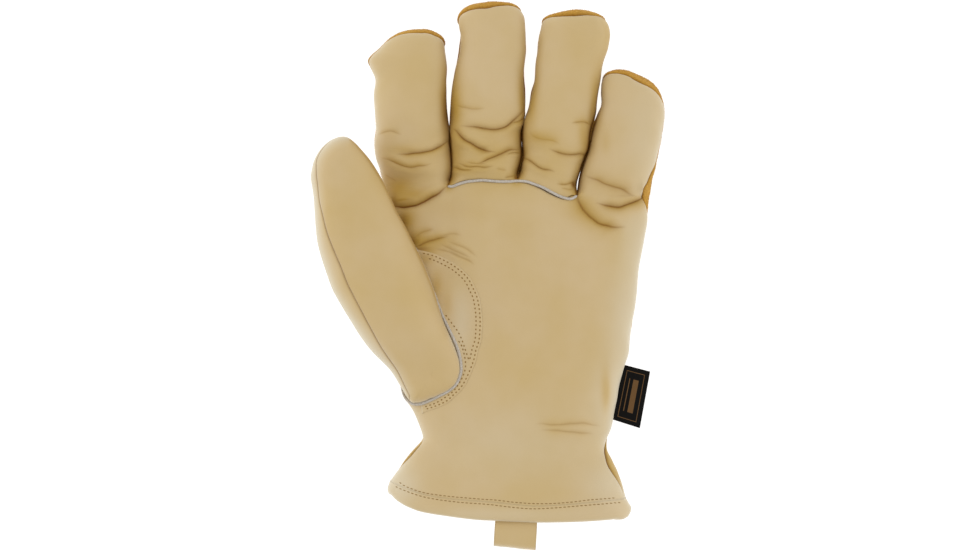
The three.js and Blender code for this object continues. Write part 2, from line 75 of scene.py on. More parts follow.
# How far inside the outline the front's edge lies, by y, so that the back shows round it.
PALM_RIM_LEFT = [
    (-103, 0), (-96, 0), (-92.5, 0.2), (-89.5, 1.4), (-87, 2.3), (-84.5, 1.6), (-82, 0), (-79, 0), (45, 0),
]
PALM_RIM_RIGHT = [
    (-112, 0.2), (-107.8, 0.6), (-103.5, 1.2), (-99.5, 2.6), (-95.5, 3.6), (-91.5, 3.2), (-88.5, 1.6),
    (-86, 0.2), (-84, 0), (24, 0), (28, 0.3), (32.6, 1), (36, 2.6), (39.4, 4.5),
]
# Each finger's two outlines from its base to its tip, its lowest and highest z by y, and the width of
# suede that shows inside the outline, by the share of the way from base to tip.
FINGERS = {
    "index": {
        "left": [
            (-52.8, 44.4), (-54.3, 52.6), (-56.1, 58.6), (-57.1, 66.2), (-56.4, 73.3), (-56.8, 82.8),
            (-57, 90.3), (-56.7, 97.8), (-58.6, 102.7), (-60, 106.9), (-58.4, 109.6), (-55, 112.6),
            (-52.1, 115.7), (-48.7, 118.9), (-44.7, 121.3), (-40.1, 122.6), (-35.7, 123.1), (-33, 123.1),
        ],
        "right": [
            (-20, 44.4), (-18.8, 48.7), (-18.4, 55.2), (-19, 65.2), (-19.5, 75.3), (-20.2, 83.8),
            (-20.9, 90.3), (-21.2, 96.4), (-20.6, 101.9), (-20.6, 106.8), (-21, 111.8), (-21.5, 116.2),
            (-22.7, 118.7), (-24.9, 120.5), (-28.1, 122.2), (-31.3, 123.1), (-33, 123.1),
        ],
        "heights": [
            (34, 0, 25), (46, -1, 24.5), (54, -1, 27.5), (66, 0, 26.5), (92, 2.5, 28), (114, 4.5, 28),
        ],
        "rim_left": [(0.64, 0), (0.68, 0.25), (0.79, 0.3), (0.83, 1.3), (0.88, 2), (1, 2.3)],
        "rim_right": [(0.83, 0.15), (0.86, 0.7), (0.9, 1.6), (1, 2.3)],
    },
    "middle": {
        "left": [
            (-20, 44.4), (-18.6, 48.7), (-18.2, 55.2), (-18.9, 65.2), (-19.6, 75.3), (-19.5, 83.8),
            (-18.6, 90.3), (-17.5, 97.8), (-16.3, 105.3), (-14.9, 112.9), (-14.3, 118.9), (-15.1, 122.9),
            (-15.5, 126.9), (-14.9, 130.1), (-13, 132.4), (-10.6, 134.2), (-7, 135.6), (-1.6, 136.5),
            (0.5, 136.9),
        ],
        "right": [
            (14.1, 46.9), (14.5, 49.7), (15.7, 54.3), (16.7, 60.2), (16.4, 65.2), (16.3, 71.3), (17.2, 76),
            (18.6, 80.5), (19, 85.8), (18.8, 91.8), (18.3, 97.8), (18.3, 105.4), (19.1, 112), (19, 116.9),
            (18.9, 123.8), (18.5, 128.6), (17.4, 131.3), (16, 133.7), (13.7, 135.6), (10.4, 136.6),
            (4.9, 137.1), (0.5, 136.9),
        ],
        "heights": [
            (34, 0, 25), (46, -1, 25), (54, -1, 28.3), (62, -0.5, 27), (69, 0.5, 28.3), (85, 2, 28),
            (106, 4, 28.5), (128, 6.5, 28.5),
        ],
        "rim_left": [(0.8, 0.1), (0.83, 0.9), (0.86, 2.2), (0.9, 3.4), (1, 3.9)],
        "rim_right": [(0.82, 0.1), (0.84, 0.7), (0.87, 2), (0.91, 3), (1, 3.9)],
    },
    "ring": {
        "left": [
            (14.5, 46.9), (15.1, 49.7), (16.2, 54.2), (17.5, 60.2), (17.2, 65.2), (17.1, 71.2),
            (18.2, 77.8), (20, 85.3), (21.2, 91.8), (22.8, 97.8), (23.3, 104.8), (24.2, 111.9),
            (24.7, 117.9), (25.8, 122.8), (26.6, 127.2), (28.8, 129.3), (31.8, 130.4), (35.8, 131.5),
            (40.7, 132.6), (43.6, 133),
        ],
        "right": [
            (43.8, 39.6), (44.2, 45.7), (45.8, 51.8), (47.9, 57.8), (50, 63.3), (51.5, 72.4), (54.3, 82.9),
            (55.2, 90.4), (56.1, 96.9), (57.1, 103), (58.1, 108.1), (59.8, 113.7), (60.8, 119),
            (60.5, 123.2), (59.3, 126.8), (57.6, 129.1), (54.5, 130.9), (50.2, 132.3), (45.4, 132.9),
            (43.6, 133),
        ],
        "heights": [
            (34, 0, 25), (46, -1, 25), (54, -1, 27.8), (60, -0.5, 26.8), (69, 0.5, 28.3), (80, 2, 28),
            (100, 4, 28.5), (124, 6.5, 28.5),
        ],
        "rim_left": [(0.8, 0.1), (0.84, 1.2), (0.89, 2.4), (1, 3.5)],
        "rim_right": [(0.82, 0.1), (0.86, 0.9), (0.91, 2.4), (1, 3.5)],
    },
    "little": {
        "left": [
            (44.2, 39.4), (45, 44.2), (46.3, 50.8), (48.4, 57.8), (50.3, 63.3), (52, 72.5), (54.6, 80.5),
            (56.1, 85.4), (56, 91.8), (56.6, 96.8), (58.2, 100.2), (60.7, 101.8), (64.6, 102.7),
            (69, 102.3), (72.2, 101.1),
        ],
        "right": [
            (80.7, 39.4), (81.4, 42.9), (82.2, 48), (83.8, 54.1), (85.2, 60.5), (86.7, 67), (87.3, 72),
            (88, 77.9), (88.1, 82.6), (87.2, 87.4), (85.5, 91.8), (82.4, 95.6), (78.5, 98.2),
            (73.5, 100.5), (72.2, 101.1),
        ],
        "heights": [
            (24, 0, 26), (38, -1, 26), (46, -1, 27.5), (60, -0.5, 27.2), (80, 2.5, 27.5), (95, 5, 27),
        ],
        "rim_left": [(0.77, 0.15), (0.8, 0.6), (0.85, 1.8), (0.9, 2.6), (1, 2.9)],
        "rim_right": [
            (0, 4.6), (0.05, 3.7), (0.1, 2), (0.16, 1.3), (0.22, 0.6), (0.28, 0.2), (0.34, 0.15),
            (0.66, 0.15), (0.7, 0.6), (0.76, 1.6), (0.83, 2.5), (0.9, 2.9),
        ],
    },
}
FINGER_NAMES = list(FINGERS)
PALM_ROWS, DENSE_ROWS = 150, 400
FINGER_ROWS = {"index": 150, "middle": 240, "ring": 230, "little": 120}
BAND_COLUMNS = [62, 36, 32, 62]
BAND_ENDS = np.cumsum([0, *BAND_COLUMNS])
BASE_REACH, FINGER_SPOKES = 0.14, 15.5
# Distances that mean no fold and no seam nearby.
FAR, NO_SEAM = 99.0, 9.0
# Up to this y each finger touches the next one: there its outline is this much wider.
TOUCH = {"index": 72, "middle": 77, "ring": 80, "little": -np.inf}
TOUCH_PUSH = 0.35
# Folds in the leather: a line of points, its depth, half width, the swell on the left hand of the
# line's direction and on the right, and the painted golden shade on the same two sides. Their lines
# get a painted dark shade.
CREASES = [
    ([(-55.3, 70.2), (-48.4, 71.6), (-42.9, 69.6)], 0.25, 0.8, 0.1, 0.1, 0.25, 0.2),
    ([(-46.4, 60), (-37.4, 60.6), (-31, 61.4), (-26, 62.9), (-21, 65.9), (-18.4, 69.1)],
     1, 1.1, 0.7, 0.3, 0.3, 0.7),
    ([(-53.8, 58.7), (-48.4, 56.7), (-43.4, 54.2), (-38.4, 53.2), (-33.4, 54.2), (-27.5, 55.7)],
     0.6, 1.1, 0.35, 0.3, 0.6, 0.3),
    ([(-51.8, 50.2), (-45.9, 46.3)], 0.2, 0.7, 0.1, 0.1, 0.2, 0.1),
    ([(-52.4, 34.6), (-46, 34.2), (-39.9, 34.1), (-33.4, 36), (-28.5, 38.6), (-23.5, 41.6), (-19.4, 45)],
     1.5, 1.5, 1.4, 0.2, 1, 0.25),
    ([(-50, 38.4), (-44, 37.2), (-38, 37.6)], 0.15, 1, 0.1, 0.1, 0.8, 0.5),
    ([(-17.6, 85), (-8.6, 82.6), (-1.1, 83)], 0.2, 1, 0.15, 0.1, 0.35, 0.2),
    ([(-14.6, 74.2), (-6.1, 73.6), (1.3, 72.4), (7.3, 73.1), (11.3, 75.6), (15.3, 79.6), (20, 83.6)],
     1, 1.2, 0.8, 0.5, 0.3, 0.5),
    ([(10.8, 75.8), (14.6, 76.6), (19.2, 79.4)], 0.5, 0.8, 0.2, 0.2, 0.4, 0.6),
    ([(-18.9, 74), (-12.6, 67.6), (-7.6, 64.7), (-2.6, 62.2), (4.3, 61)], 1.2, 1.2, 0.8, 0.3, 0.4, 0.8),
    ([(-6.6, 54.4), (1.3, 58.2), (6.3, 60.6), (11.3, 62.4), (17.4, 63)], 0.9, 1.1, 0.6, 0.3, 0.6, 0.4),
    ([(8.6, 60.2), (12.6, 61), (17.2, 60.8)], 0.4, 0.7, 0.1, 0.2, 0.3, 0.4),
    ([(-15.6, 55.8), (-9.1, 53.8), (-3.1, 53.7), (2.9, 53.9)], 0.55, 0.8, 0.25, 0.25, 0.5, 0.4),
    ([(-18.4, 54.2), (-13.1, 52.2), (-7.1, 52.2)], 0.5, 0.8, 0.2, 0.25, 0.6, 0.4),
    ([(-11.4, 56.6), (-6.2, 55.2), (-0.4, 55.6)], 0.3, 0.7, 0.2, 0.1, 0.4, 0.3),
    ([(3.6, 52.6), (9.4, 52)], 0.15, 0.7, 0.1, 0.1, 0.2, 0.2),
    ([(7.8, 48.6), (14.3, 49.6)], 0.4, 0.8, 0.1, 0.1, 0.3, 0.3),
    ([(41.1, 75.6), (46.1, 75.9), (53.2, 74.8)], 0.4, 0.8, 0.1, 0.15, 0.5, 0.3),
    ([(20.2, 71.4), (24.6, 67.8), (31.2, 67), (36.4, 64.6)], 0.12, 1.6, 0.15, 0.1, 0.55, 0.4),
    ([(29.7, 62.7), (36.1, 60.4), (41.1, 59.5), (46.1, 60.3), (50.4, 59.2)], 0.75, 1, 0.4, 0.35, 0.5, 0.3),
    ([(16.6, 59.6), (22.7, 54.9), (26.2, 53.1), (33.4, 51)], 0.75, 1, 0.35, 0.3, 0.45, 0.4),
    ([(33.7, 45.3), (38.6, 45), (42.6, 45.8), (44, 47.4)], 0.45, 0.8, 0.2, 0.2, 0.5, 0.3),
    ([(35.7, 43.2), (40.6, 42.9), (43.4, 43.6)], 0.2, 0.7, 0.1, 0.1, 0.3, 0.3),
    ([(47.6, 50), (56, 46.3), (62, 43.8), (67, 42.3), (73.9, 38.8)], 0.7, 2.2, 0.35, 0.35, 0.5, 0.35),
    ([(53, 36), (60, 34.5), (66, 34.3), (70.9, 35.8), (75.9, 37.8), (80.8, 41.6)],
     1.2, 1.5, 1.2, 0.3, 0.45, 0.9),
    ([(43.8, 43.5), (44.4, 38), (46.6, 33.8), (51, 28.9), (56, 25.6), (62, 24.1), (69, 24)],
     1.1, 1.9, 1.2, 0.2, 0.9, 0.7),
    ([(-39.4, 12.8), (-31.5, 15.9), (-27.5, 17.4), (-19, 19.4)], 0.7, 1.2, 0.35, 0.35, 0.6, 0.8),
    ([(-38.4, 17.6), (-32.5, 21.4), (-26.5, 23.4)], 0.25, 1.2, 0.2, 0.2, 0.4, 0.4),
    ([(-20.5, 12.2), (-12.6, 8.5), (-6.6, 5.2)], 0.3, 0.8, 0.12, 0.12, 0.2, 0.25),
    ([(-24.5, 15.6), (-15.6, 11.6), (-8.6, 8.6)], 0.25, 0.8, 0.1, 0.1, 0.2, 0.2),
    ([(-25.7, 18.8), (-17.5, 20.5), (-12.9, 19.5)], 0.15, 0.8, 0.1, 0.1, 0.2, 0.25),
    ([(-20.3, 16.8), (-11.1, 13.2), (-5.6, 8.6)], 0.22, 0.7, 0.1, 0.1, 0.2, 0.25),
    ([(-26.3, 13.4), (-19, 11.2), (-13.6, 8.4)], 0.2, 0.7, 0.1, 0.1, 0.2, 0.2),
    ([(22.7, -73.6), (36.1, -74), (46.1, -73.5), (56.5, -75.4)], 0.3, 1.1, 0.2, 0.15, 0.25, 0.2),
    ([(25.7, -76.4), (38.6, -77.5), (53, -78.8)], 0.3, 1.1, 0.15, 0.2, 0.2, 0.2),
]
# Patches of painted golden shade beside folds, gaps and the thumb: place, half sizes and strength.
PAINTED_GOLD_SHADE = [
    (-43, 62.5, 9, 3.5, 0.4), (-45, 43, 10, 8, 0.9), (-38, 40, 9, 4, 0.7), (-15.5, 61, 5, 11, 0.55),
    (-17, 84, 5, 18, 1), (0, 60, 17, 14, 0.25), (32, 56, 14, 12, 0.2), (-36, 54, 16, 13, 0.25),
    (-10.5, 53, 8, 4, 0.4), (12.5, 71, 6, 8, 0.4), (23, 69, 8, 4, 0.4), (21.5, 90, 3.6, 22, 0.8),
    (48.5, 66, 4, 10, 0.5), (53.5, 86, 3.5, 18, 0.8), (17.5, 88, 3, 15, 0.8), (-22, 88, 2.8, 18, 0.7),
    (47, 72, 2.5, 8, 0.4), (58.5, 66, 3, 8, 0.3), (-41, 27, 7, 9, 1), (-36, 17, 9, 6, 1),
    (-46, 37, 4, 5, 0.8), (-30, 12, 8, 5, 0.6), (-22, 17, 9, 5, 0.45), (58.5, -58, 3, 14, 0.5),
    (-20, 33, 16, 8, 0.2), (45, 34, 7, 9, 0.35), (52, 30, 9, 8, 0.3), (72, 36.5, 9, 4, 0.35),
    (5, 47, 22, 7, 0.2),
]
# Patches of painted highlight, the same way, where the hide turns to the sides.
PAINTED_HIGHLIGHTS = [
    (76, 12, 13, 36, 0.45), (70, -28, 13, 34, 0.5), (62, -64, 13, 26, 0.5), (78, 72, 13, 34, 0.28),
    (15, -84, 50, 22, 0.25), (-44, -104, 12, 15, 0.6), (60, -104, 16, 14, 0.4), (-54, 90, 8, 26, 0.05),
    (5, -118, 60, 5, 0.3),
]
# Patches of painted dark shade, the same way, over the crotches between fingers, on flanks and by the thumb.
DARK_SHADE_PATCHES = [
    (-19.3, 47.4, 1.2, 2, 0.9), (13.8, 48.4, 1.2, 2.2, 0.9), (42.6, 45, 1.2, 2, 0.9),
    (-20.4, 82, 3.6, 15, 0.65), (17.4, 80, 1.6, 12, 0.2), (52, 76, 2, 12, 0.3),
    (-38, 16.5, 3.4, 4.5, 0.65), (-42.6, 25, 3, 7, 0.6), (-47.2, 36, 2.2, 5, 0.45),
    (-33.5, 12.8, 5, 1.6, 0.5),
]
# The fingers' sides that face each other get a painted golden shade: the share of the side, and how strongly.
GAP_SIDES = [
    ("index", "right", 0.8, 0.6), ("middle", "left", 0.75, 0.95), ("middle", "right", 0.75, 0.95),
    ("ring", "left", 0.7, 0.9), ("ring", "right", 0.8, 0.9), ("little", "left", 0.7, 0.4),
]
HIDE_WAVES = (34, 5, 0.28), (13, 6, 0.08)


def run_along(line):
    """Distance along a line of points."""
    return np.r_[0, np.cumsum(np.linalg.norm(np.diff(line, axis=0), axis=1))]


def curve(points, count):
    """Points spaced evenly along the Catmull-Rom curve through the given ones."""
    given = np.asarray(points, float)
    ends = np.vstack([2 * given[0] - given[1], given, 2 * given[-1] - given[-2]])
    part = np.linspace(0, 1, 16, endpoint=False)[None, :, None]
    a, b, c, d = (ends[k : len(ends) - 3 + k, None] for k in range(4))
    square, cube = 2 * a - 5 * b + 4 * c - d, 3 * b - a - 3 * c + d
    dense = 0.5 * (2 * b + (c - a) * part + square * part**2 + cube * part**3)
    dense = np.vstack([dense.reshape(-1, given.shape[1]), given[-1:]])
    run = run_along(dense)
    return np.stack([np.interp(np.linspace(0, run[-1], count), run, column) for column in dense.T], axis=1)


def along(table, at):
    """The smoothed columns of a table, after its first, read at values of the first."""
    dense = curve(sorted(table), 400)
    return [np.interp(at, dense[:, 0], column) for column in dense.T[1:]]


def mix(a, b, part):
    return a + (b - a) * part


def ease(x):
    """0 below 0, 1 above 1, and 3x2 - 2x3 between."""
    x = np.clip(x, 0, 1)
    return x * x * (3 - 2 * x)


def unit(vectors):
    return vectors / np.linalg.norm(vectors, axis=-1, keepdims=True)


def raised(plan, z):
    return np.concatenate([plan, z[..., None]], axis=-1)


def half_oval(half_width, half_height, power):
    """A quarter of the oval |x|^p + |z|^p = 1 from its widest point up: run in mm, reach and rise."""
    turn = np.radians(np.linspace(0, 90, 400))
    reach, rise = np.cos(turn) ** (2 / power), np.sin(turn) ** (2 / power)
    steps = np.hypot(np.diff(half_width * reach), np.diff(half_height * rise))
    return np.r_[0, np.cumsum(steps)], reach, rise


def edge_run(outline, middle, inset, oval):
    """The run from the widest point up to a line inset from the outline, or down to it if negative."""
    run, reach, _ = oval
    wide = np.maximum(np.linalg.norm(outline - middle, axis=1), 1e-6)
    return np.sign(inset) * np.interp(1 - np.abs(inset) / wide, reach[::-1], run[::-1])


def soften(values, reach):
    """A moving average over 2 reach + 1 of the values."""
    count = 2 * reach + 1
    return np.convolve(np.pad(values, reach, "edge"), np.full(count, 1 / count), "valid")


def span(rows, oval, starts, sigma, side, edge_z=None):
    """A grid over rows of left, middle and right points with their lowest and highest z. sigma is -1 at
    the left edge and 1 at the right, even in arc length from the starts; x and y go from the middle to
    the outline by reach, z from the widest height by rise. side is 1 for the skin's top and -1 below."""
    left, middle, right, low, high = rows
    run, reach, rise = oval

    def pick(pair):
        return np.where(sigma[None] < 0, pair[0][:, None], pair[1][:, None])

    at = mix(side * run[-1], pick(starts), np.abs(sigma)[None])
    out = np.interp(np.abs(at), run, reach)
    up = np.sign(at) * np.interp(np.abs(at), run, rise)
    outline = np.where((sigma < 0)[None, :, None], left[:, None], right[:, None])
    widest = pick(edge_z or [(low + high) / 2] * 2)
    z = widest + np.where(up > 0, high[:, None] - widest, widest - low[:, None]) * up
    return raised(mix(middle[:, None], outline, out[..., None]), z)


def runs(grid, axis):
    """Distance along a grid's rows or columns from its first line and from its last."""
    steps = np.linalg.norm(np.diff(grid, axis=axis), axis=2)
    zero = np.zeros_like(np.take(steps, [0], axis=axis))
    first = np.concatenate([zero, np.cumsum(steps, axis=axis)], axis=axis)
    return first, np.take(first, [-1], axis=axis) - first


def side_runs(grid):
    return np.minimum(*runs(grid, 1))


def line_distance(plan, line):
    """Each point's distance to a polyline, positive on its left hand, and how far along it the nearest
    place is, 0 to 1."""
    a, step = line[:-1], np.diff(line, axis=0)
    length = np.linalg.norm(step, axis=1)
    rel = plan[:, None] - a[None]
    part = np.clip((rel * step).sum(2) / length**2, 0, 1)
    gap = np.linalg.norm(rel - part[..., None] * step, axis=2)
    near, rows = gap.argmin(1), np.arange(len(plan))
    before = np.r_[0, np.cumsum(length)]
    turned = step[near, 0] * rel[rows, near, 1] - step[near, 1] * rel[rows, near, 0]
    return np.copysign(gap[rows, near], turned), (before[near] + part[rows, near] * length[near]) / before[-1]


def near_line(plan, line, reach):
    return ((plan > line.min(0) - reach) & (plan < line.max(0) + reach)).all(1)


def waves(points, scale, seed, count=18):
    """Smooth noise of about unit height: sines of random direction whose length is near scale."""
    rng = np.random.default_rng(seed)
    pull = rng.normal(size=(count, points.shape[1]))
    length = np.linalg.norm(pull, axis=1, keepdims=True)
    pull *= (2 * np.pi / scale) * rng.uniform(0.6, 1.5, (count, 1)) / length
    return np.sin(points @ pull.T + rng.uniform(0, 2 * np.pi, count)).sum(1) / np.sqrt(count / 2)


def all_waves(points, *terms):
    """The sum of waves, each of a scale, a seed and a height."""
    return sum(waves(points, scale, seed) * height for scale, seed, height in terms)


def creases(plan, lines):
    """How far the folds move the surface outwards, how dark their lines are painted as shade, and
    their painted golden shade.
    Each has a sharp groove -0.6 depth exp(-|d|/0.4w) in a soft one -0.4 depth exp(-(d/1.2w)2), and a
    swell exp(-((|d|-2.3w)/1.5w)2) on each side, faded at its ends."""
    shift, dark, shade = np.zeros((3, len(plan)))
    for points, depth, width, swell_left, swell_right, shade_left, shade_right in lines:
        line = curve(points, 60)
        box = near_line(plan, line, 6 * width + 2)
        if not box.any():
            continue
        gap, part = line_distance(plan[box], line)
        gap = gap + 0.12 * waves(plan[box], 8, 3, 8)
        fade = ease(np.minimum(part, 1 - part) / 0.3)
        far = np.abs(gap) / width
        groove = 0.6 * np.exp(-far / 0.4) + 0.4 * np.exp(-((far / 1.2) ** 2))
        swell = np.where(gap > 0, swell_left, swell_right) * np.exp(-(((far - 2.3) / 1.5) ** 2))
        shift[box] += fade * (swell * ease(far) - depth * groove)
        thin, wide = (np.exp(-((gap / reach) ** 2)) for reach in (0.22 + 0.13 * width, 0.95 * width))
        line_dark = fade**0.5 * (0.72 * thin + 0.28 * wide) * min(0.1 + 0.6 * depth, 1)
        dark[box] = np.maximum(dark[box], line_dark)
        gold = np.minimum(1.4 * np.where(gap > 0, shade_left, shade_right), 1) * np.exp(-far / 1.8)
        shade[box] = np.maximum(shade[box], fade * gold)
    return shift, dark, shade


def gather(grid, lines, count):
    """The grid's columns cut into count rows, closer together at the folds: there are more by a factor
    1 + 6 exp(-(d/1.2)2) of the distance d to the nearest fold, blurred over the columns beside it."""
    plan = grid[..., :2].reshape(-1, 2)
    near = np.full(len(plan), FAR)
    for points, *_ in lines:
        line = curve(points, 60)
        box = near_line(plan, line, 4)
        if box.any():
            near[box] = np.minimum(near[box], np.abs(line_distance(plan[box], line)[0]))
    weight = 1 + 6 * np.exp(-((near / 1.2) ** 2)).reshape(grid.shape[:2])
    weight = np.pad(weight, ((0, 0), (20, 20)), "edge")
    blur = np.exp(-((np.arange(-20, 21) / 9) ** 2))
    weight = np.stack([np.convolve(row, blur / blur.sum(), "valid") for row in weight])
    run = np.concatenate([np.zeros((1, grid.shape[1])), np.cumsum((weight[1:] + weight[:-1]) / 2, axis=0)])
    even = np.linspace(0, 1, count)
    columns = [
        np.stack([np.interp(even * run[-1, k], run[:, k], axis) for axis in grid[:, k].T], 1)
        for k in range(grid.shape[1])
    ]
    columns = np.stack(columns, 1)
    columns[-1] = grid[-1]
    return columns


def quads(at):
    """Faces over a grid of point numbers."""
    return np.stack([at[:-1, :-1], at[:-1, 1:], at[1:, 1:], at[1:, :-1]], -1).reshape(-1, 4)


def halves(at):
    return [quads(at)[:, corners] for corners in ([0, 1, 2], [0, 2, 3])]


def weld(patches):
    """One list of points, triangles and per-point values from grids that share their border points.
    A grid is (points, seam distance, flip)."""
    points = np.concatenate([p.reshape(-1, 3) for p, _, _ in patches])
    seam = np.concatenate([s.ravel() for _, s, _ in patches])
    faces, start = [], 0
    for grid, _, flip in patches:
        count = grid[..., 0].size
        faces += [f[:, ::-1] if flip else f for f in halves(start + np.arange(count).reshape(grid.shape[:2]))]
        start += count
    cells = np.round(points * 200).astype(np.int64)
    _, first, same = np.unique(cells, axis=0, return_index=True, return_inverse=True)
    faces = same.ravel()[np.concatenate(faces)]
    whole = (faces != np.roll(faces, -1, axis=1)).all(1)
    return points[first], faces[whole], seam[first]


def add_mesh(name, points, faces):
    mesh = bpy.data.meshes.new(name)
    faces = faces if isinstance(faces, list) else faces.tolist()
    mesh.from_pydata((np.asarray(points) * MM).tolist(), [], faces)
    mesh.polygons.foreach_set("use_smooth", [True] * len(mesh.polygons))
    mesh.update()
    piece = bpy.data.objects.new(name, mesh)
    bpy.context.scene.collection.objects.link(piece)
    return piece


def read(items, key, width=1, kind=float):
    """A property of all of a mesh's vertices, loops or faces."""
    values = np.zeros(len(items) * width, kind)
    items.foreach_get(key, values)
    return values.reshape(-1, width) if width > 1 else values


def close_shell(points, inner, faces):
    """A closed skin: the outer faces, the inner ones turned over, and a pair of triangles on each
    border edge, which is one whose reverse is in no face. Also returns the inner faces' share."""
    count = len(points)
    edges = faces[:, [0, 1, 1, 2, 2, 0]].reshape(-1, 2)
    border = edges[~np.isin(edges[:, 0] * count + edges[:, 1], edges[:, 1] * count + edges[:, 0])]
    a, b = border.T
    rim = np.concatenate([np.stack([b, a, a + count], 1), np.stack([b, a + count, b + count], 1)])
    all_faces = np.concatenate([faces, rim, faces[:, ::-1] + count])
    return np.concatenate([points, inner]), all_faces, len(faces) + len(rim)


def finish_piece(piece, node, slot, *materials):
    for material in materials:
        piece.data.materials.append(material)
    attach(piece, "root")
    if node:
        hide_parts(node)
    return piece


class Nodes:
    """A material's nodes. All methods but put and finish add one and return its output."""

    def __init__(self, name):
        self.material = bpy.data.materials.new(name)
        self.material.use_nodes = True
        self.tree = self.material.node_tree

    def put(self, socket, value):
        if isinstance(value, bpy.types.NodeSocket):
            self.tree.links.new(value, socket)
        else:
            colour = socket.type == "RGBA" and len(value) == 3
            socket.default_value = (*value, 1) if colour else value

    def add(self, kind, output, inputs=(), **settings):
        node = self.tree.nodes.new("ShaderNode" + kind)
        for key, value in settings.items():
            setattr(node, key, value)
        for key, value in dict(inputs).items():
            self.put(node.inputs[key], value)
        return node.outputs[output]

    def place(self):
        return self.add("TexCoord", "Object")

    def attribute(self, name):
        return self.add("Attribute", "Fac", attribute_name=name)

    def noise(self, place, scale, detail, **more):
        return self.add("TexNoise", "Fac", {"Vector": place, "Scale": scale, "Detail": detail, **more})

    def spread(self, value, low, high, to_low=0, to_high=1):
        ends = {"From Min": low, "From Max": high, "To Min": to_low, "To Max": to_high}
        return self.add("MapRange", "Result", {"Value": value, **ends})

    def blend(self, part, a, b):
        return self.add("Mix", 2, {0: part, 6: a, 7: b}, data_type="RGBA")

    def math(self, kind, *values, **settings):
        return self.add("Math", 0, enumerate(values), operation=kind, **settings)

    def finish(self, colour, bump=None, **inputs):
        """Fills the shader: its colour, a bump of height, strength and distance, and other inputs."""
        shader = self.tree.nodes["Principled BSDF"]
        if bump:
            inputs["Normal"] = self.add("Bump", "Normal", dict(zip(("Height", "Strength", "Distance"), bump)))
        for key, value in {"Base_Color": colour, **inputs}.items():
            self.put(shader.inputs[key.replace("_", " ")], value)
        return self.material


def leather(name, base, mottle, painted_sheen, gold, deep):
    """Smooth leather: base mottled lightly; a painted sheen at grazing angles and a painted highlight
    where the shade is below 0; a painted golden shade on the slopes of folds and a painted dark shade
    in their lines, in the gaps and at the seams; pores and, near folds, fine wrinkles in the bump."""
    kit = Nodes(name)
    place, shade, fold = kit.place(), kit.attribute("shade"), kit.attribute("fold")
    cloud = kit.spread(kit.noise(place, 26, 3, Roughness=0.55), 0.35, 0.68)
    graze = kit.math("POWER", kit.add("LayerWeight", "Facing", {"Blend": 0.5}), 1.7)
    light = kit.math("SUBTRACT", graze, shade, use_clamp=True)
    pale = kit.blend(light, kit.blend(cloud, base, mottle), painted_sheen)
    tint = kit.blend(fold, kit.blend(shade, pale, gold), deep)
    pores = kit.add("TexVoronoi", "Distance", {"Vector": place, "Scale": 1500})
    height = kit.math("MULTIPLY_ADD", pores, 0.5, kit.noise(place, 420, 4, Roughness=0.6))
    squeezed = kit.add("VectorMath", 0, {0: place, 1: (1, 4.5, 1)}, operation="MULTIPLY")
    lines = kit.noise(squeezed, 130, 4, Roughness=0.6, Distortion=0.4)
    wrinkle = kit.math("ABSOLUTE", kit.math("SUBTRACT", lines, 0.5))
    both = kit.math("MULTIPLY_ADD", wrinkle, kit.spread(shade, 0.05, 0.7, 0, 14), height)
    return kit.finish(
        tint, (both, 0.10, 0.0006), Roughness=0.62, Specular_IOR_Level=0.3, Sheen_Roughness=0.45,
        Sheen_Weight=kit.spread(fold, 0, 0.6, 0.22, 0), Sheen_Tint=(1, 0.97, 0.9),
    )


def fleece(name, base, shade):
    """Curly pile lining: a clumped noise in colour and bump."""
    kit = Nodes(name)
    curls = kit.noise(kit.place(), 650, 5, Roughness=0.7)
    return kit.finish(kit.blend(curls, shade, base), (curls, 0.8, 0.0015), Roughness=0.95, Sheen_Weight=0.4)


# Of these leather colours the first two are the hide's own; the third is a painted sheen for grazing angles,
# the fourth a painted golden shade and the fifth a painted dark shade.
TAN, TAN_MOTTLE, TAN_PAINTED_SHEEN = (0.590, 0.442, 0.238), (0.562, 0.408, 0.184), (0.650, 0.570, 0.415)
TAN_GOLD, TAN_DEEP = (0.465, 0.288, 0.048), (0.200, 0.074, 0.006)
smooth_leather = leather("smooth_leather", TAN, TAN_MOTTLE, TAN_PAINTED_SHEEN, TAN_GOLD, TAN_DEEP)
lining = fleece("fleece_lining", (0.62, 0.50, 0.34), (0.36, 0.26, 0.15))


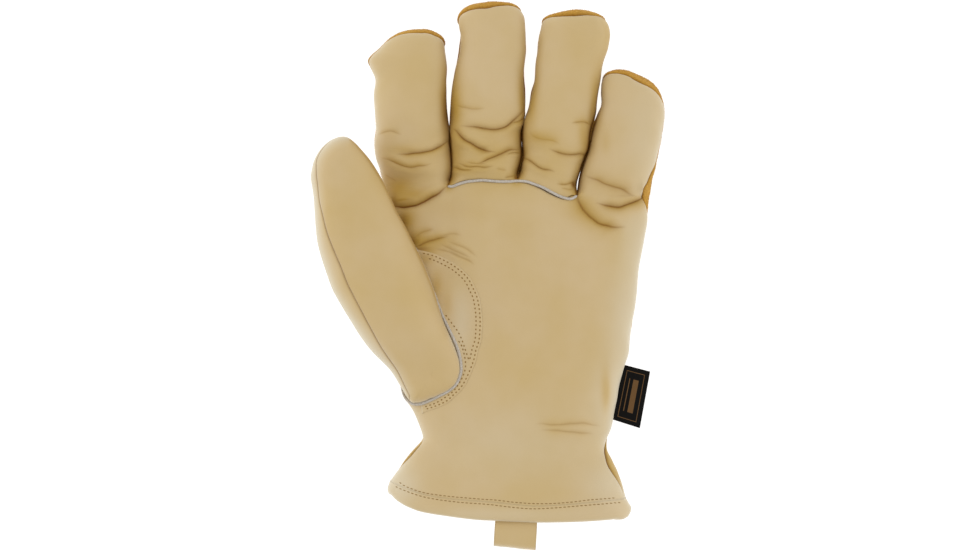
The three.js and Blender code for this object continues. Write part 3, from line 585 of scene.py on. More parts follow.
def hide(
    name, patches, relief, thickness=LEATHER, round_off=SEAM_ROUND, line=0.85, lined=True,
    slot="smooth_leather", skin=smooth_leather,
):
    """A leather panel from its grids: relief moves it along its normals, its seam edges turn in by
    r - sqrt(r2 - (r - d)2), and its inner face lies a thickness inside, less near the crotches."""
    points, faces, seam = weld(patches)
    draft = add_mesh(name + "_draft", points, faces)
    normals = read(draft.data.vertices, "normal", 3)
    bpy.data.meshes.remove(draft.data)
    shift, dark, shade = relief(points)
    near = np.minimum(seam, round_off)
    turn = round_off - np.sqrt(round_off**2 - (round_off - near) ** 2)
    outer = points + normals * (shift - turn)[:, None]
    outer[:, 2] = np.maximum(outer[:, 2], 0.02)
    crotch = np.linalg.norm(points[:, None, :2] - np.array(CROTCH_POINTS)[None], axis=2).min(1)
    deep = thickness * np.clip(0.15 + crotch / 9, 0, 1)
    inner = points + normals * (np.minimum(shift, 0) - deep)[:, None]
    outer_count = len(faces)
    outer, faces, inner_start = close_shell(outer, inner, faces)
    piece = add_mesh(name, outer, faces)
    order = np.arange(len(faces))
    piece.data.polygons.foreach_set("use_smooth", (order < outer_count) | (order >= inner_start))
    if lined:
        piece.data.polygons.foreach_set("material_index", (order >= inner_start).astype(int))
    # A painted dark shade along the seams, where the edges turn in, of strength line.
    dark = np.maximum(dark, line * np.exp(-seam / 0.28))
    for key, values in (("fold", dark), ("shade", shade)):
        attribute = piece.data.attributes.new(key, "FLOAT", "POINT")
        attribute.data.foreach_set("value", np.clip(np.tile(values, 2), -1, 1))
    return finish_piece(piece, name, slot, skin, *[lining] * lined)


finger_oval = half_oval(18, 13, 2.4)
palm_oval = half_oval(64, 15, 2.6)


def palm_rows(share):
    """The palm's rows for shares 0 at the hem to 1 at the fingers."""
    left, right = (
        np.stack([along([point[::-1] for point in line], y)[0], y], 1)
        for line in (PALM_LEFT, PALM_RIGHT)
        for y in (mix(line[0][1], line[-1][1], share),)
    )
    middle = (left + right) / 2
    return left, middle, right, *along(PALM_HEIGHTS, middle[:, 1])


def across_line(line, part):
    """The y of a line of rising x at parts of the way across it."""
    return np.interp(mix(line[0, 0], line[-1, 0], part), line[:, 0], line[:, 1])


def bow(grid, share):
    """Bends rows near the hem to the hem line and rows near the fingers to the finger seam: each adds
    its curve's height over the straight row, times the cube of the share of the way."""
    first, last = grid[:, :1, 0], grid[:, -1:, 0]
    part = (grid[..., 0] - first) / (last - first)
    top = np.vstack([[PALM_LEFT[-1]], curve(FINGER_SEAM, 200), [PALM_RIGHT[-1]]])
    down, up = (
        across_line(line, part) - mix(line[0, 1], line[-1, 1], part) for line in (curve(HEM_LINE, 300), top)
    )
    grid[..., 1] += (1 - share[:, None]) ** 3 * down + share[:, None] ** 3 * up
    return grid


def band_sigma(left, middle, right, oval, starts, side):
    """Columns of the palm from one crotch between fingers to the next, so that each is on a column."""
    run, reach, _ = oval
    end = side * run[-1]
    cuts = [-1.0]
    for x in CROTCHES:
        outline, start, sign = (left, starts[0], -1) if x < middle[0] else (right, starts[1], 1)
        at = side * np.interp(abs(x - middle[0]) / abs(outline[0] - middle[0]), reach[::-1], run[::-1])
        cuts.append(sign * (end - at) / (end - start))
    bands = [np.linspace(a, b, n + 1)[:-1] for a, b, n in zip(cuts, [*cuts[1:], 1.0], BAND_COLUMNS)]
    return np.concatenate([*bands, [1.0]])


def palm_grid(share, side, gap=0):
    """The palm's or back's rows from edge to edge; the back's edges may lie a gap below."""
    rows = palm_rows(share)
    left, middle, right = rows[:3]
    starts = []
    for line, rim in ((left, PALM_RIM_LEFT), (right, PALM_RIM_RIGHT)):
        inset = np.maximum(along(rim, line[:, 1])[0], 0)
        starts.append(soften(edge_run(line, middle, inset, palm_oval), len(share) // 25) - gap)
    sigma = band_sigma(left[-1], middle[-1], right[-1], palm_oval, [start[-1] for start in starts], side)
    return bow(span(rows, palm_oval, starts, sigma, side), share), sigma


def finger_bases(top):
    """Each finger's part of the palm's last row."""
    return {name: top[BAND_ENDS[i] : BAND_ENDS[i + 1] + 1] for i, name in enumerate(FINGER_NAMES)}


def touch_of(name, side):
    """The y up to which a finger touches its neighbour on a side."""
    return TOUCH[name if side == "right" else FINGER_NAMES[FINGER_NAMES.index(name) - 1]]


def to_spokes(middle, tip, reach):
    """Slows a middle line to a fifth beyond the given reach below its tip, straight under the tip, so
    that the rows from there turn round it like spokes."""
    stop = tip[1] - reach
    across = mix(middle[:, 0], tip[0], ease((middle[:, 1] - stop + 22) / 22))
    return np.stack([across, middle[:, 1] - 0.8 * 1.6 * np.logaddexp(0, (middle[:, 1] - stop) / 1.6)], 1)


def finger_frame(name, count):
    """A finger's rows, which turn into spokes near the tip, its rims and the rows' shares."""
    finger, share = FINGERS[name], np.linspace(0, 1, count)
    outlines = [curve(finger[side], count) for side in SIDES]
    for line, side, push in zip(outlines, SIDES, (-TOUCH_PUSH, TOUCH_PUSH)):
        line[:, 0] += push * (1 - ease((line[:, 1] - touch_of(name, side)) / 6))
    left, right = outlines
    middle = to_spokes((left + right) / 2, finger["left"][-1], FINGER_SPOKES)
    rims = [np.interp(share, *np.transpose(finger["rim_" + side])) for side in SIDES]
    return (left, middle, right, *along(finger["heights"], middle[:, 1])), rims, share


def finger_grid(name, base, count, soft, side, rim_of=lambda rim, share, side: rim, gap=0):
    """A finger's front or back from the palm's last row to its tip, before its rows are gathered. Its
    first rows lead from the base line: the offset there fades, sooner at the sides."""
    rows, rims, share = finger_frame(name, count)
    starts = [
        soften(edge_run(line, rows[1], rim_of(rim, share, key), finger_oval), soft) - gap
        for line, rim, key in zip((rows[0], rows[2]), rims, SIDES)
    ]
    starts[0][-1] = starts[1][-1]
    grid = span(rows, finger_oval, starts, np.linspace(-1, 1, len(base)), side)
    grid = soft_floor(grid) if side < 0 else grid
    aside = np.abs(np.linspace(-1, 1, len(base)))
    reach = BASE_REACH * mix(1, 0.4, ease((aside - 0.55) / 0.45))
    return grid + (base - grid[0])[None] * (1 - ease(share[:, None] / reach))[..., None]


def finger_front(name, base):
    """A finger's front, and its seam distance, which is longer out of sight where fingers touch."""
    grid = finger_grid(name, base, DENSE_ROWS, DENSE_ROWS // 60, 1)
    grid = fronts[name] = gather(grid, CREASES, FINGER_ROWS[name])
    away = [
        run + 3 * (1 - ease((grid[..., 1] - touch_of(name, side)) / 7))
        for run, side in zip(runs(grid, 1), SIDES)
    ]
    return grid, np.minimum(*away)


def patches_at(points, patches):
    """How strong patches are at points: 1 - the product of 1 - k exp(-1.6 r2)."""
    left = np.ones(len(points))
    for x, y, across, up, strength in patches:
        far = ((points[:, 0] - x) / across) ** 2 + ((points[:, 1] - y) / up) ** 2
        left *= 1 - strength * np.exp(-1.6 * far)
    return 1 - left


def front_relief(points):
    """Folds and loose waves, with patches of painted golden shade, painted dark shade and painted highlight.
    Near the gaps the painted golden shade is k exp(-(d/2.6)2), fading towards the tip, and the painted
    dark shade exp(-(d/0.62)2). The painted highlights are shade below 0."""
    shift, dark, shade = creases(points[:, :2], CREASES)
    shade = 1 - (1 - shade) * (1 - patches_at(points, PAINTED_GOLD_SHADE))
    for name, side, share, strength in GAP_SIDES:
        line = curve(FINGERS[name][side], 60)
        box = near_line(points[:, :2], line, 6)
        if box.any():
            gap, part = line_distance(points[box, :2], line)
            inner = gap if side == "right" else -gap
            fade = mix(1, 0.35, ease(part / share)) * (1 - ease((part - share) / 0.12)) * (inner > -0.5)
            gold = strength * fade * np.exp(-((inner / 2.6) ** 2))
            shade[box] = 1 - (1 - shade[box]) * (1 - gold)
            deep = mix(0.85, 0.08, ease((points[box, 1] - touch_of(name, side) + 5) / 9)) * (fade > 0)
            dark[box] = np.maximum(dark[box], deep * np.exp(-((inner / 0.62) ** 2)))
    dark = np.maximum(dark, patches_at(points, DARK_SHADE_PATCHES))
    return shift + all_waves(points, *HIDE_WAVES), dark, shade - patches_at(points, PAINTED_HIGHLIGHTS) * (1 - shade)


fronts, backs = {}, {}
palm_front, palm_sigma = palm_grid(np.linspace(0, 1, 2 * PALM_ROWS), 1)
palm_front = gather(palm_front, CREASES, PALM_ROWS)
bases = finger_bases(palm_front[-1])
set_in = (np.arange(len(palm_sigma)) >= BAND_ENDS[1]) & (np.arange(len(palm_sigma)) <= BAND_ENDS[3])
palm_seam = np.minimum(side_runs(palm_front), np.where(set_in[None], runs(palm_front, 0)[1] + 0.4, FAR))
palm_patches = [(palm_front, palm_seam, False)]
palm_patches += [(*finger_front(name, bases[name]), False) for name in ("index", "little")]
front_pieces = [hide("palm_panel", palm_patches, front_relief)]

# Middle finger front and ring finger front
# The two set-in finger fronts, of the same smooth cowhide, sewn to the palm along the piping and to
# the fourchettes down their sides. They bulge between deep folds.

for name in ("middle", "ring"):
    even = np.linspace(0, 1, 81)
    base = np.stack([np.interp(even, np.linspace(0, 1, len(bases[name])), v) for v in bases[name].T], 1)
    grid, seam = finger_front(name, base + np.array([0, 0.2, 0]))
    seam = np.minimum(seam, runs(grid, 0)[0] + 0.3)
    front_pieces.append(hide(f"{name}_finger_front", [(grid, seam, False)], front_relief))

# Back panel and cuff back
# The back of the hand is golden-brown split suede in one piece, flat where the glove lies on it and
# wrapped over the four fingertips. Below the gathered wrist the cuff's back is smooth leather.

BACK_GAP = -0.15
BACK_ROWS, BACK_FINGER_ROWS = 125, 90
WRIST_Y = -81
FOURCHETTE_INSET = 0.75
# The share of the way to a finger's tip where its side strip ends.
SIDE_END = {"index": (0, 0.84), "middle": (0.81, 0.84), "ring": (0.82, 0.85), "little": (0.79, 0)}


def suede(name, base, shade, pale, deep):
    """Napped suede: a painted highlight in brushed patches, where fibres would catch the light, over a
    coarse speckle; a painted dark shade at seams; a strong bump."""
    kit = Nodes(name)
    place = kit.place()
    nap = kit.noise(place, 1300, 6, Roughness=0.75)
    patch = kit.noise(place, 45, 3, Distortion=0.6)
    body = kit.blend(kit.spread(nap, 0.3, 0.66), shade, base)
    brushed = kit.blend(kit.spread(patch, 0.45, 0.75, 0, 0.5), body, pale)
    return kit.finish(
        kit.blend(kit.attribute("fold"), brushed, deep), (nap, 0.55, 0.0008), Roughness=0.95,
        Specular_IOR_Level=0.1, Sheen_Weight=0.12, Sheen_Roughness=0.6, Sheen_Tint=(1, 0.8, 0.5),
    )


golden_suede = suede("golden_suede", (0.66, 0.36, 0.055), (0.38, 0.18, 0.025), (0.64, 0.39, 0.10), TAN_DEEP)
in_suede = {"slot": "suede", "skin": golden_suede}


def soft_floor(grid):
    """Keeps the underside over the floor: z becomes (z + sqrt(z2 + 0.64)) / 2."""
    grid[..., 2] = (grid[..., 2] + np.sqrt(grid[..., 2] ** 2 + 0.64)) / 2
    return grid


def finger_back(name, base):
    """A finger's back: its edge lies under the front's, and behind it along a side strip."""

    def rim_of(rim, share, side):
        return mix(-FOURCHETTE_INSET, rim, ease((share - SIDE_END[name][side == "right"] + 0.03) / 0.04))

    grid = finger_grid(name, base, BACK_FINGER_ROWS, 1, -1, rim_of, BACK_GAP)
    grid = backs[name] = gather(grid, [], BACK_FINGER_ROWS)
    return grid


def back_relief(points):
    drawn = np.exp(-(((points[:, 1] - WRIST_Y) / 10) ** 2)) * (points[:, 2] < 4)
    ripple = drawn * 0.35 * np.sin(points[:, 0] * 0.9 + waves(points[:, :2], 20, 8))
    shift = all_waves(points, (30, 9, 0.2), (9, 10, 0.06)) + ripple
    return shift * ease(points[:, 2] / 3), *np.zeros((2, len(points)))


def cuff_relief(points):
    """The back's ripples, with a painted golden shade where the cuff's edges show past the palm."""
    shift, dark, _ = back_relief(points)
    return shift, dark, 0.75 * ease((points[:, 2] - 4) / 8) * ease((points[:, 1] + 108) / 10)


back_grid, back_sigma = palm_grid(np.linspace(0, 1, BACK_ROWS), -1, BACK_GAP)
back_grid = soft_floor(back_grid)
wrist_row = int(np.argmax(back_grid[:, len(back_sigma) // 2, 1] > WRIST_Y))
hand_back, cuff_grid = back_grid[wrist_row:], back_grid[: wrist_row + 1]
back_patches = [(hand_back, np.minimum(side_runs(hand_back), runs(hand_back, 0)[0]), True)]
for name, base in finger_bases(back_grid[-1]).items():
    grid = finger_back(name, base)
    back_patches.append((grid, side_runs(grid), True))
back_panel = hide("back_panel", back_patches, back_relief, **in_suede)
cuff_seam = np.minimum(side_runs(cuff_grid), runs(cuff_grid, 0)[1])
hide("cuff_back", [(cuff_grid, cuff_seam, True)], cuff_relief)

# Fourchette index middle, fourchette middle ring, fourchette ring little
# Side strips of suede between the fingers: each runs up one finger's side from a point near the tip,
# round the crotch and up the next finger's side, sewn between the fronts and the back.

TOUCH_BULGE, FREE_TUCK = 0.55, 0.45


def finger_side(name, side, touch):
    """The strip of a finger's side from the back's edge to the front's, from the crotch up to where they
    meet. It bulges where fingers touch and lies in behind the front's edge beyond."""
    end = curve(FINGERS[name][side], 101)[round(100 * SIDE_END[name][side == "right"]), 1]
    part = np.linspace(0, 1, 90) ** 1.5
    lines = []
    for grid in (backs[name], fronts[name]):
        edge = grid[:, 0 if side == "left" else -1]
        up = mix(edge[0, 1], end, part)
        lines.append(np.stack([np.interp(up, np.maximum.accumulate(edge[:, 1]), axis) for axis in edge.T], 1))
    across = np.linspace(0.02, 0.98, 11)[None]
    strip = mix(lines[0][:, None], lines[1][:, None], across[..., None])
    bulge = mix(TOUCH_BULGE, -FREE_TUCK, ease((strip[..., 1] - touch) / 5 + 1)) * ease(part[:, None] / 0.15)
    outward = bulge * np.sin(np.pi * across) - ease((part[:, None] - 0.85) / 0.15)
    strip[..., 0] += outward if side == "right" else -outward
    return strip


def plain_relief(points):
    return waves(points, 12, 11) * 0.08, *np.zeros((2, len(points)))


for one, other in zip(FINGER_NAMES, FINGER_NAMES[1:]):
    down, up = finger_side(one, "right", TOUCH[one])[::-1], finger_side(other, "left", TOUCH[one])
    grid = np.concatenate([down, up])
    strip = [(grid, side_runs(grid), False)]
    hide(f"fourchette_{one}_{other}", strip, plain_relief, 1.0, 0.4, lined=False, **in_suede)

# Suede nap
# The suede's raised fibres, where its edge stands up round the fingertips and along the little
# finger's side: short tapered hairs of the same suede, rooted in the back panel.

NAP_COUNT = 22000
NAP_LENGTH, NAP_WIDTH, NAP_LEAN = (0.2, 0.6), 0.09, 0.55
NAP_ABOVE_Z, NAP_PAST_Y = 7, 24


def nap(piece, count, seed):
    """Tapered three-sided fibres, scattered by area on a piece's outer faces that stand over the floor,
    each leaning at random from the face's normal."""
    rng = np.random.default_rng(seed)
    points = read(piece.data.vertices, "co", 3) / MM
    corners = read(piece.data.loops, "vertex_index", 1, int).reshape(-1, 3)
    a, b, c = np.moveaxis(points[corners[read(piece.data.polygons, "material_index", 1, int) == 0]], 1, 0)
    cross = np.cross(b - a, c - a)
    area = np.linalg.norm(cross, axis=1)
    centre = (a + b + c) / 3
    reach = area * (centre[:, 2] > NAP_ABOVE_Z) * (centre[:, 1] > NAP_PAST_Y) * (cross[:, 2] > -0.75 * area)
    pick = rng.choice(len(area), count, p=reach / reach.sum())
    u, v = rng.uniform(size=(2, count, 1))
    flip = u + v > 1
    u, v = np.where(flip, 1 - u, u), np.where(flip, 1 - v, v)
    foot = a[pick] * (1 - u - v) + b[pick] * u + c[pick] * v
    normal = cross[pick] / area[pick, None]
    lean = unit(normal + rng.normal(0, NAP_LEAN, (count, 3)))
    length = rng.uniform(*NAP_LENGTH, (count, 1))
    side_way = unit(np.cross(lean, rng.normal(size=(count, 3))))
    turn = np.radians([0, 120, 240])[None, :, None]
    ring = side_way[:, None] * np.cos(turn) + np.cross(lean, side_way)[:, None] * np.sin(turn)
    base = (foot - normal * 0.05)[:, None] + ring * NAP_WIDTH / 2
    fibres = np.concatenate([base, (foot + lean * length)[:, None]], axis=1)
    shell = np.array([(0, 1, 3), (1, 2, 3), (2, 0, 3), (0, 2, 1)])
    return fibres.reshape(-1, 3), (shell[None] + 4 * np.arange(count)[:, None, None]).reshape(-1, 3)


finish_piece(add_mesh("suede_nap", *nap(back_panel, NAP_COUNT, 21)), None, "suede", golden_suede)

# Thumb front and thumb back
# The keystone thumb: a smooth front set into the palm with piping, and a back joined to it by a fine
# seam that shows down the left side. It lies over the palm's edge and is free towards its tip.

THUMB_LEFT = [
    (-28.1, -60.7), (-32.6, -62.6), (-36, -63.3), (-38.8, -62.6), (-42.5, -57.4), (-49.1, -46.9),
    (-57.7, -37.2), (-65, -27.2), (-71.3, -17.3), (-76.8, -7.4), (-80.4, 2.4), (-83.6, 12.3),
    (-85.4, 22.2), (-86.2, 37.1), (-87.3, 47), (-87.1, 51), (-85.6, 57.1), (-82.3, 62.6), (-78.1, 66.2),
    (-74.7, 67.8), (-72.9, 68.3), (-71.3, 68.4),
]
THUMB_PIPING = [
    (-33.4, -64.3), (-28.5, -62.3), (-23.5, -59.8), (-19.5, -57.6), (-16, -54.6), (-14.1, -51.1),
    (-13.1, -47.1), (-13.4, -42.2), (-14.6, -37.2), (-16.5, -32.2), (-19, -27), (-22, -20.8),
    (-24.5, -14.4), (-26.5, -8.9), (-28, -4.9),
]
THUMB_FREE = [
    (-32.3, 5.5), (-36.2, 13.9), (-42.2, 26), (-45.6, 32.7), (-49.1, 41.1), (-53.1, 49.2), (-58, 56.9),
    (-63.9, 63.6), (-67.6, 66.9), (-69.6, 68.1), (-71.3, 68.4),
]
THUMB_CROTCH_Y, THUMB_ROOT_Y = -4.9, -47.0
# Lowest and highest z by y, and the height of the widest place.
THUMB_HEIGHTS = [
    (-66, 9, 30), (-56, 8, 33.4), (-50, 8, 35.6), (-42, 9, 39.4), (-32, 11, 44.4), (-22, 14, 47.6),
    (-12, 16.5, 49.5), (0, 18, 50), (12, 19.5, 50), (28, 20.5, 49.8), (42, 21.5, 49.2), (54, 23, 48),
    (62, 25, 46.5), (70, 26, 45),
]
THUMB_EDGE = [(-66, 22), (-56, 24), (-37, 28), (-17, 31.5), (0, 33.5), (20, 34.5), (47, 35.5), (70, 36)]
# The side seam lies this far inside the left outline, by y.
THUMB_RIM = [
    (-64, 1.4), (-60, 1.8), (-54, 2.5), (-46, 3.7), (-37, 5.6), (-25, 7.6), (-14, 8.6), (0, 8.6),
    (12, 7.6), (26, 5.2), (34, 3.6), (38, 2.9), (44, 3.4), (51.5, 2.9), (56.4, 1.5), (61.3, 1), (65, 0.8),
    (69, 1.4),
]
THUMB_ROWS, THUMB_COLUMNS = 190, 70
SEAM_GAP, DROP_Z, THUMB_SPOKES = 0.03, 80.0, 19
thumb_oval = half_oval(23, 15, 2.25)
thumb_line = {"round_off": 0.22, "line": 0.4}


def offset(line, distance):
    """The line moved to its left, or to its right if the distance is negative."""
    step = unit(np.gradient(line, axis=0))
    return line + np.stack([-step[:, 1], step[:, 0]], 1) * distance


def tree_of(piece):
    bpy.context.view_layer.update()
    return BVHTree.FromObject(piece, bpy.context.evaluated_depsgraph_get())


def drop_on(tree, plan):
    """Where plumb lines through the plan points meet a surface, with its normals, in mm."""
    hits = [tree.ray_cast(Vector((x * MM, y * MM, DROP_Z * MM)), Vector((0, 0, -1))) for x, y in plan]
    place = np.array([h[0] if h[0] else (x * MM, y * MM, np.nan) for h, (x, y) in zip(hits, plan)]) / MM
    normal = np.array([h[1] if h[0] else (0, 0, 1) for h in hits])
    bad = np.isnan(place[:, 2])
    if bad.any() and not bad.all():
        place[bad, 2] = np.interp(np.flatnonzero(bad), np.flatnonzero(~bad), place[~bad, 2])
    return place, normal


def height_on(tree, plan):
    return drop_on(tree, plan)[0][:, 2]


# The rows start from the middle of the thumb's lower edge, so the left outline first runs to the corner.
palm_tree, *finger_trees = (tree_of(piece) for piece in front_pieces)
row = np.arange(THUMB_ROWS)
left = curve(THUMB_LEFT, THUMB_ROWS)
piped = curve([*THUMB_PIPING[1:], *THUMB_FREE], 600)
piped = offset(piped, 1.0 * (1 - ease((piped[:, 1:] + 30) / 25)))
right = curve([THUMB_LEFT[0], *piped[8:]], THUMB_ROWS)
corner = int(np.argmin(np.linalg.norm(left - np.array(THUMB_LEFT[3]), axis=1)))
past_corner = row - corner
middle = to_spokes((left + right) / 2, THUMB_FREE[-1], THUMB_SPOKES)
middle[:, 0] = mix(THUMB_LEFT[0][0], middle[:, 0], ease(row / 60))
middle[:, 1] += 0.8 * 2.5 * np.logaddexp(0, (THUMB_ROOT_Y - middle[:, 1]) / 2.5)
middle[:, 1] = np.maximum.accumulate(middle[:, 1]) + 0.01 * np.minimum(row, 20)
thumb_rows = left, middle, right, *along(THUMB_HEIGHTS, middle[:, 1])
on_left, on_right = (height_on(palm_tree, line) + 0.7 for line in (left, right))
edge_left, edge_right = (along(THUMB_EDGE, line[:, 1])[0] for line in (left, right))
edge_left = mix(np.where(past_corner > -3, on_left[corner - 4], on_left), edge_left, ease(past_corner / 22))
edge_right = mix(on_right, edge_right, ease((right[:, 1] - THUMB_CROTCH_Y) / 30))
seam_run = edge_run(left, middle, along(THUMB_RIM, left[:, 1])[0], thumb_oval)
to_tip = ease(row[::-1] / 16)
seam_run = soften(seam_run, 4) * to_tip * ease((past_corner + 1) / 4)
wrap = -1.6 * ease((right[:, 1] - THUMB_CROTCH_Y) / 15) * to_tip


def thumb_grid(starts, sigma, side):
    return span(thumb_rows, thumb_oval, starts, sigma, side, (edge_left, edge_right))


def thumb_relief(points):
    """Loose waves; a light painted golden shade all over, stronger along the free edge and darkest at the
    edge itself, and a painted highlight along the other side.
    """
    gap, _ = line_distance(points[:, :2], curve([*THUMB_PIPING[10:], *THUMB_FREE[:-2]], 60))
    pale, _ = line_distance(points[:, :2], curve(THUMB_LEFT[4:], 60))
    edge = np.exp(-((gap / 0.9) ** 2)) * ease((points[:, 2] - 30) / 5)
    gold = 0.08 + 0.25 * np.exp(-((gap / 3.5) ** 2)) + 0.65 * edge
    shift = all_waves(points, (40, 12, 0.2), (15, 13, 0.05))
    return shift, 0.25 * edge, gold - 0.5 * np.exp(-((pale / 4.5) ** 2))


inside = (row > 0) & (row < THUMB_ROWS - 1)
over = thumb_grid((seam_run + SEAM_GAP * inside, wrap), np.linspace(-1, 1, THUMB_COLUMNS), 1)
hide("thumb_front", [(over, side_runs(over), False)], thumb_relief, **thumb_line)

half = 39
sigma = np.concatenate([-np.linspace(1, 0, half + 1), np.linspace(0, 1, half + 1)[1:]])
under = thumb_grid((seam_run - SEAM_GAP, wrap - SEAM_GAP), sigma, -1)
from_left, from_right = runs(under, 1)
first_free = int(np.argmax(right[:, 1] > THUMB_CROTCH_Y))
patches = [
    (under[corner:, : half + 1], from_left[corner:, : half + 1], True),
    (under[first_free:, half:], from_right[first_free:, half:], True),
]
hide("thumb_back", patches, thumb_relief, **thumb_line)

# Thumb gusset
# A crescent of the same leather laid on the palm beside the thumb, from the thumb's crotch round its
# root, and held by double rows of stitches.

OUTER_ROW = [
    (-32.9, 11), (-28.5, 10), (-24.5, 8.5), (-19.5, 6), (-16, 3.8), (-12.6, 1), (-9.6, -2.4), (-7.6, -6.4),
    (-5.6, -10.9), (-4.6, -15.9), (-4.1, -20.8), (-4.1, -25.8), (-4.6, -32.2), (-6.1, -37.2),
    (-7.1, -41.7), (-8.6, -45.9), (-10.4, -50), (-12.4, -53.9), (-14.8, -56.9), (-17.6, -59.6),
    (-20.5, -62.2), (-24, -64), (-28.8, -65.9), (-31.2, -66.6),
]
GUSSET_INNER = [
    (-39.5, 12), (-35, 4.5), (-30.5, -5), (-28.5, -9.9), (-26, -16.4), (-23.4, -21.9), (-20.3, -27.7),
    (-17.8, -33), (-16.2, -38), (-15.2, -43), (-15, -47.5), (-15.9, -51.4), (-17.6, -54.3), (-20.8, -56.9),
    (-24.6, -59.2), (-29.1, -61), (-33.4, -62.8),
]
inner = curve(GUSSET_INNER, 120)
outer = offset(curve([(-37.5, 12.0), *OUTER_ROW, (-33.5, -68.0)], 120), 1.1)
plan = mix(inner[:, None], outer[:, None], np.linspace(0, 1, 30)[None, :, None])
lift = height_on(palm_tree, plan.reshape(-1, 2)).reshape(plan.shape[:2])
lift += mix(0.02, 0.22, ease(runs(raised(plan, lift), 1)[1] / 1.2))


def flat_relief(points):
    # A painted golden shade beside the thumb, and a painted highlight down the crescent's middle.
    gold = patches_at(points, [(-25.5, -5, 3.5, 8, 0.55), (-31, 8, 5, 4, 0.5), (-20, -14, 3, 8, 0.3)])
    return *np.zeros((2, len(points))), gold - patches_at(points, [(-13.5, -24, 6.5, 22, 0.4)])


patches = [(raised(plan, lift), np.full(lift.shape, NO_SEAM), False)]
gusset = hide("thumb_gusset", patches, flat_relief, thickness=0.25, lined=False)

# Finger piping and thumb piping
# Grey-white woven cord edging caught in the seams: one along the base of the middle and ring fingers,
# one round the root of the thumb.

TUBE_SIDES = 12
# Its ends are tucked in: round the thumb's back, and under the thumb at the crotch.
THUMB_CORD = [
    (-43.9, -55.4), (-42.9, -59.2), (-41.2, -62.2), (-38.0, -64.3), *THUMB_PIPING[:-1],
    (-29.8, -4.0), (-34.2, 3.6), (-36.0, 8.6), (-35.0, 11.6), (-36.2, 14),
]


def rings(count, sides):
    """Point numbers of count closed rings, with each ring's first point again at its end."""
    at = np.arange(count * sides).reshape(count, sides)
    return np.concatenate([at, at[:, :1]], 1)


def tube(path, radius):
    """A closed tube round a path: rings in the plane across it, and a point over each end."""
    ahead = unit(np.gradient(path, axis=0))
    sideways = unit(np.cross(ahead, (0, 0, 1.0)))
    upward = np.cross(sideways, ahead)
    turn = np.linspace(0, 2 * np.pi, TUBE_SIDES, endpoint=False)[None, :, None]
    ring = sideways[:, None] * np.cos(turn) + upward[:, None] * np.sin(turn)
    size = np.ones(len(path)) * radius
    size[[0, -1]] *= 0.55
    shell = (path[:, None] + ring * size[:, None, None]).reshape(-1, 3)
    points = np.concatenate([shell, path[:1] - ahead[:1] * size[0], path[-1:] + ahead[-1:] * size[-1]])
    at = rings(len(path), TUBE_SIDES)
    last = np.full(TUBE_SIDES, len(shell))
    caps = [np.stack([at[0, 1:], at[0, :-1], last], -1), np.stack([at[-1, :-1], at[-1, 1:], last + 1], -1)]
    return points, np.concatenate([*halves(at), *caps])[:, ::-1]


def cord_weave(name, base, shade):
    """Braided cord: slanting threads from a fine wave with speckle."""
    kit = Nodes(name)
    place = kit.place()
    thread = kit.add("TexWave", "Fac", {"Vector": place, "Scale": 420, "Distortion": 3, "Detail": 1})
    return kit.finish(kit.blend(kit.noise(place, 1400, 3), shade, base), (thread, 0.5, 0.0004), Roughness=0.8)


piping_cord = cord_weave("piping_cord", (0.70, 0.66, 0.60), (0.34, 0.28, 0.21))
path = curve(FINGER_SEAM, 150)
lift = height_on(palm_tree, path - np.array([0, 1.5]))
on_fingers = [height_on(tree, path + np.array([0, 1.6])) for tree in finger_trees]
above = np.where(path[:, 0] < CROTCHES[1], *on_fingers)
from_crotch = np.minimum.reduce([np.abs(path[:, 0] - x) for x in CROTCHES])
lift = np.where(from_crotch > 3, (lift + np.maximum(lift, above)) / 2, lift)
cord = tube(raised(path, soften(lift, 4) + 0.2), 0.68)
finish_piece(add_mesh("finger_piping", *cord), "finger_piping", "piping", piping_cord)
path = offset(curve(THUMB_CORD, 220), 0.4)
lift = height_on(palm_tree, path + np.array([0.6, 0.3]))
radius = mix(0.4, 0.8, ease(np.arange(220) / 26)) * mix(1, 0.75, ease((np.arange(220) - 110) / 60))
cord = tube(raised(path, lift + 0.75 * radius), radius)
finish_piece(add_mesh("thumb_piping", *cord), "thumb_piping", "piping", piping_cord)

# Cuff hem
# The mouth's edge: the leather is turned in over itself, which makes it soft and thick, and sewn down
# with two rows of stitches.

MOUTH = [
    (-48.5, -110.4), (-46.5, -112.4), (-43, -114.3), (-38.6, -115.9), (-33.2, -117.3), (-20.9, -118.9),
    (-6.1, -120.5), (3.8, -120.9), (16.1, -121.4), (27.5, -121.7), (46.2, -121.5), (55.6, -121.2),
    (60.5, -121), (64, -120.8), (66.6, -121.2), (69, -120.9), (70.4, -119.8), (71, -118.2),
]
HEM_LEFT = [(-49, -102.8), (-49.7, -104.8), (-49.9, -107), (-49.5, -108.9), (-48.5, -110.4)]
HEM_RIGHT = [(68.7, -111.3), (69.7, -113), (70.5, -114.7), (70.9, -116.4), (71, -118.2)]
HEM_ROWS, HEM_THICK, HEM_TURN = 16, 3.0, 1.7
mouth = curve(MOUTH, 300)


